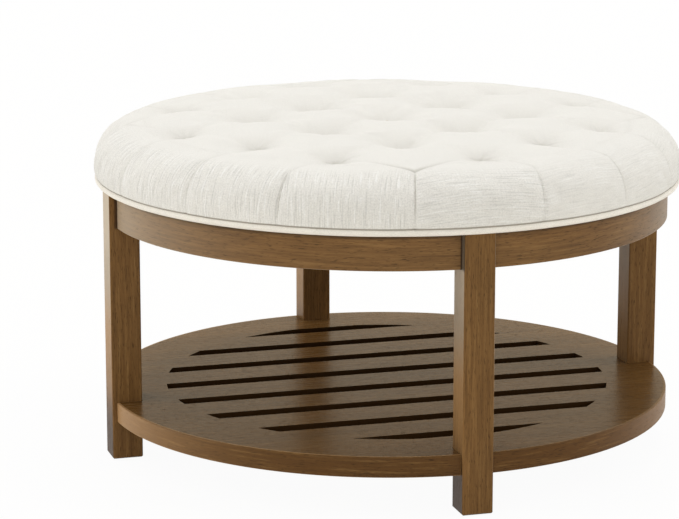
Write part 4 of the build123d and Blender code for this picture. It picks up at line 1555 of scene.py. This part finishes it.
def place_camera(context, place, aim, focal_length):
    """Puts the scene's camera at a place and turns it to what it looks at."""
    data = bpy.data.cameras.new("camera")
    data.lens = focal_length
    camera = bpy.data.objects.new("camera", data)
    camera.location = place
    camera.rotation_mode = "QUATERNION"
    camera.rotation_quaternion = (aim - place).to_track_quat("-Z", "Y")
    context.collection.objects.link(camera)
    context.scene.camera = camera


class OTTOMAN_OT_stage(bpy.types.Operator):
    """Sets up the floor, lamps, even light and camera"""

    bl_idname = "ottoman.stage"
    bl_label = "Set Stage"

    def execute(self, context):
        stage = looks(context, "stage")
        stage_floor()
        stage_world(stage.sky)
        azimuth, elevation = stage.azimuth, stage.elevation
        back = Vector((
            math.sin(azimuth) * math.cos(elevation),
            -math.cos(azimuth) * math.cos(elevation),
            math.sin(elevation),
        ))
        right = Vector((math.cos(azimuth), math.sin(azimuth), 0.0))
        ahead = Vector((-math.sin(azimuth), math.cos(azimuth), 0.0))
        down = Vector((0.0, 0.0, -1.0))
        lamp("top light", down - 0.35 * ahead, stage.top_light, 30)
        lamp("left light", right - 0.05 * ahead + 0.6 * down, 0.65 * stage.side_light, 40)
        lamp("low left light", right + 0.05 * down, 0.5 * stage.side_light, 50)
        lamp("right light", 0.6 * down - right - 0.2 * ahead, 0.78 * stage.side_light, 40)
        lamp("front light", ahead + 0.2 * down, stage.front_light, 60, (1.0, 0.955, 0.85))
        place = Vector((0.0, 0.0, stage.middle_height)) + back * stage.distance
        aim = right * stage.aim_across + Vector((0.0, 0.0, stage.aim_height))
        place_camera(context, place, aim, stage.focal_length)
        context.scene.view_settings.view_transform = "Standard"
        return {"FINISHED"}


SETTINGS = {
    "cushion": OttomanCushion,
    "piping": OttomanPiping,
    "wood": OttomanWood,
    "stage": OttomanStage,
}
OPERATORS = (
    OTTOMAN_OT_cushion,
    OTTOMAN_OT_piping,
    OTTOMAN_OT_wood,
    OTTOMAN_OT_seat_core,
    OTTOMAN_OT_hardware,
    OTTOMAN_OT_stage,
)


class OTTOMAN_PT_sidebar(bpy.types.Panel):
    """Lists the ottoman's steps"""

    bl_idname = "OTTOMAN_PT_sidebar"
    bl_label = "Tufted Ottoman"
    bl_space_type = "VIEW_3D"
    bl_region_type = "UI"
    bl_category = "Ottoman"

    def draw(self, context):
        for operator in OPERATORS:
            self.layout.operator(operator.bl_idname)
        for part, settings in SETTINGS.items():
            box = self.layout.box()
            box.label(text=part.capitalize())
            for name in settings.__annotations__:
                box.prop(looks(context, part), name)


def register():
    for item in (*SETTINGS.values(), *OPERATORS, OTTOMAN_PT_sidebar):
        bpy.utils.register_class(item)
    for part, settings in SETTINGS.items():
        setattr(bpy.types.Scene, f"ottoman_{part}", PointerProperty(type=settings))


def unregister():
    for part in SETTINGS:
        delattr(bpy.types.Scene, f"ottoman_{part}")
    for item in reversed((*SETTINGS.values(), *OPERATORS, OTTOMAN_PT_sidebar)):
        bpy.utils.unregister_class(item)


def main():
    register()
    bpy.ops.ottoman.cushion()
    bpy.ops.ottoman.piping()
    bpy.ops.ottoman.wood()
    bpy.ops.ottoman.seat_core()
    bpy.ops.ottoman.hardware()
    bpy.ops.ottoman.stage()


if __name__ == "__main__":
    main()
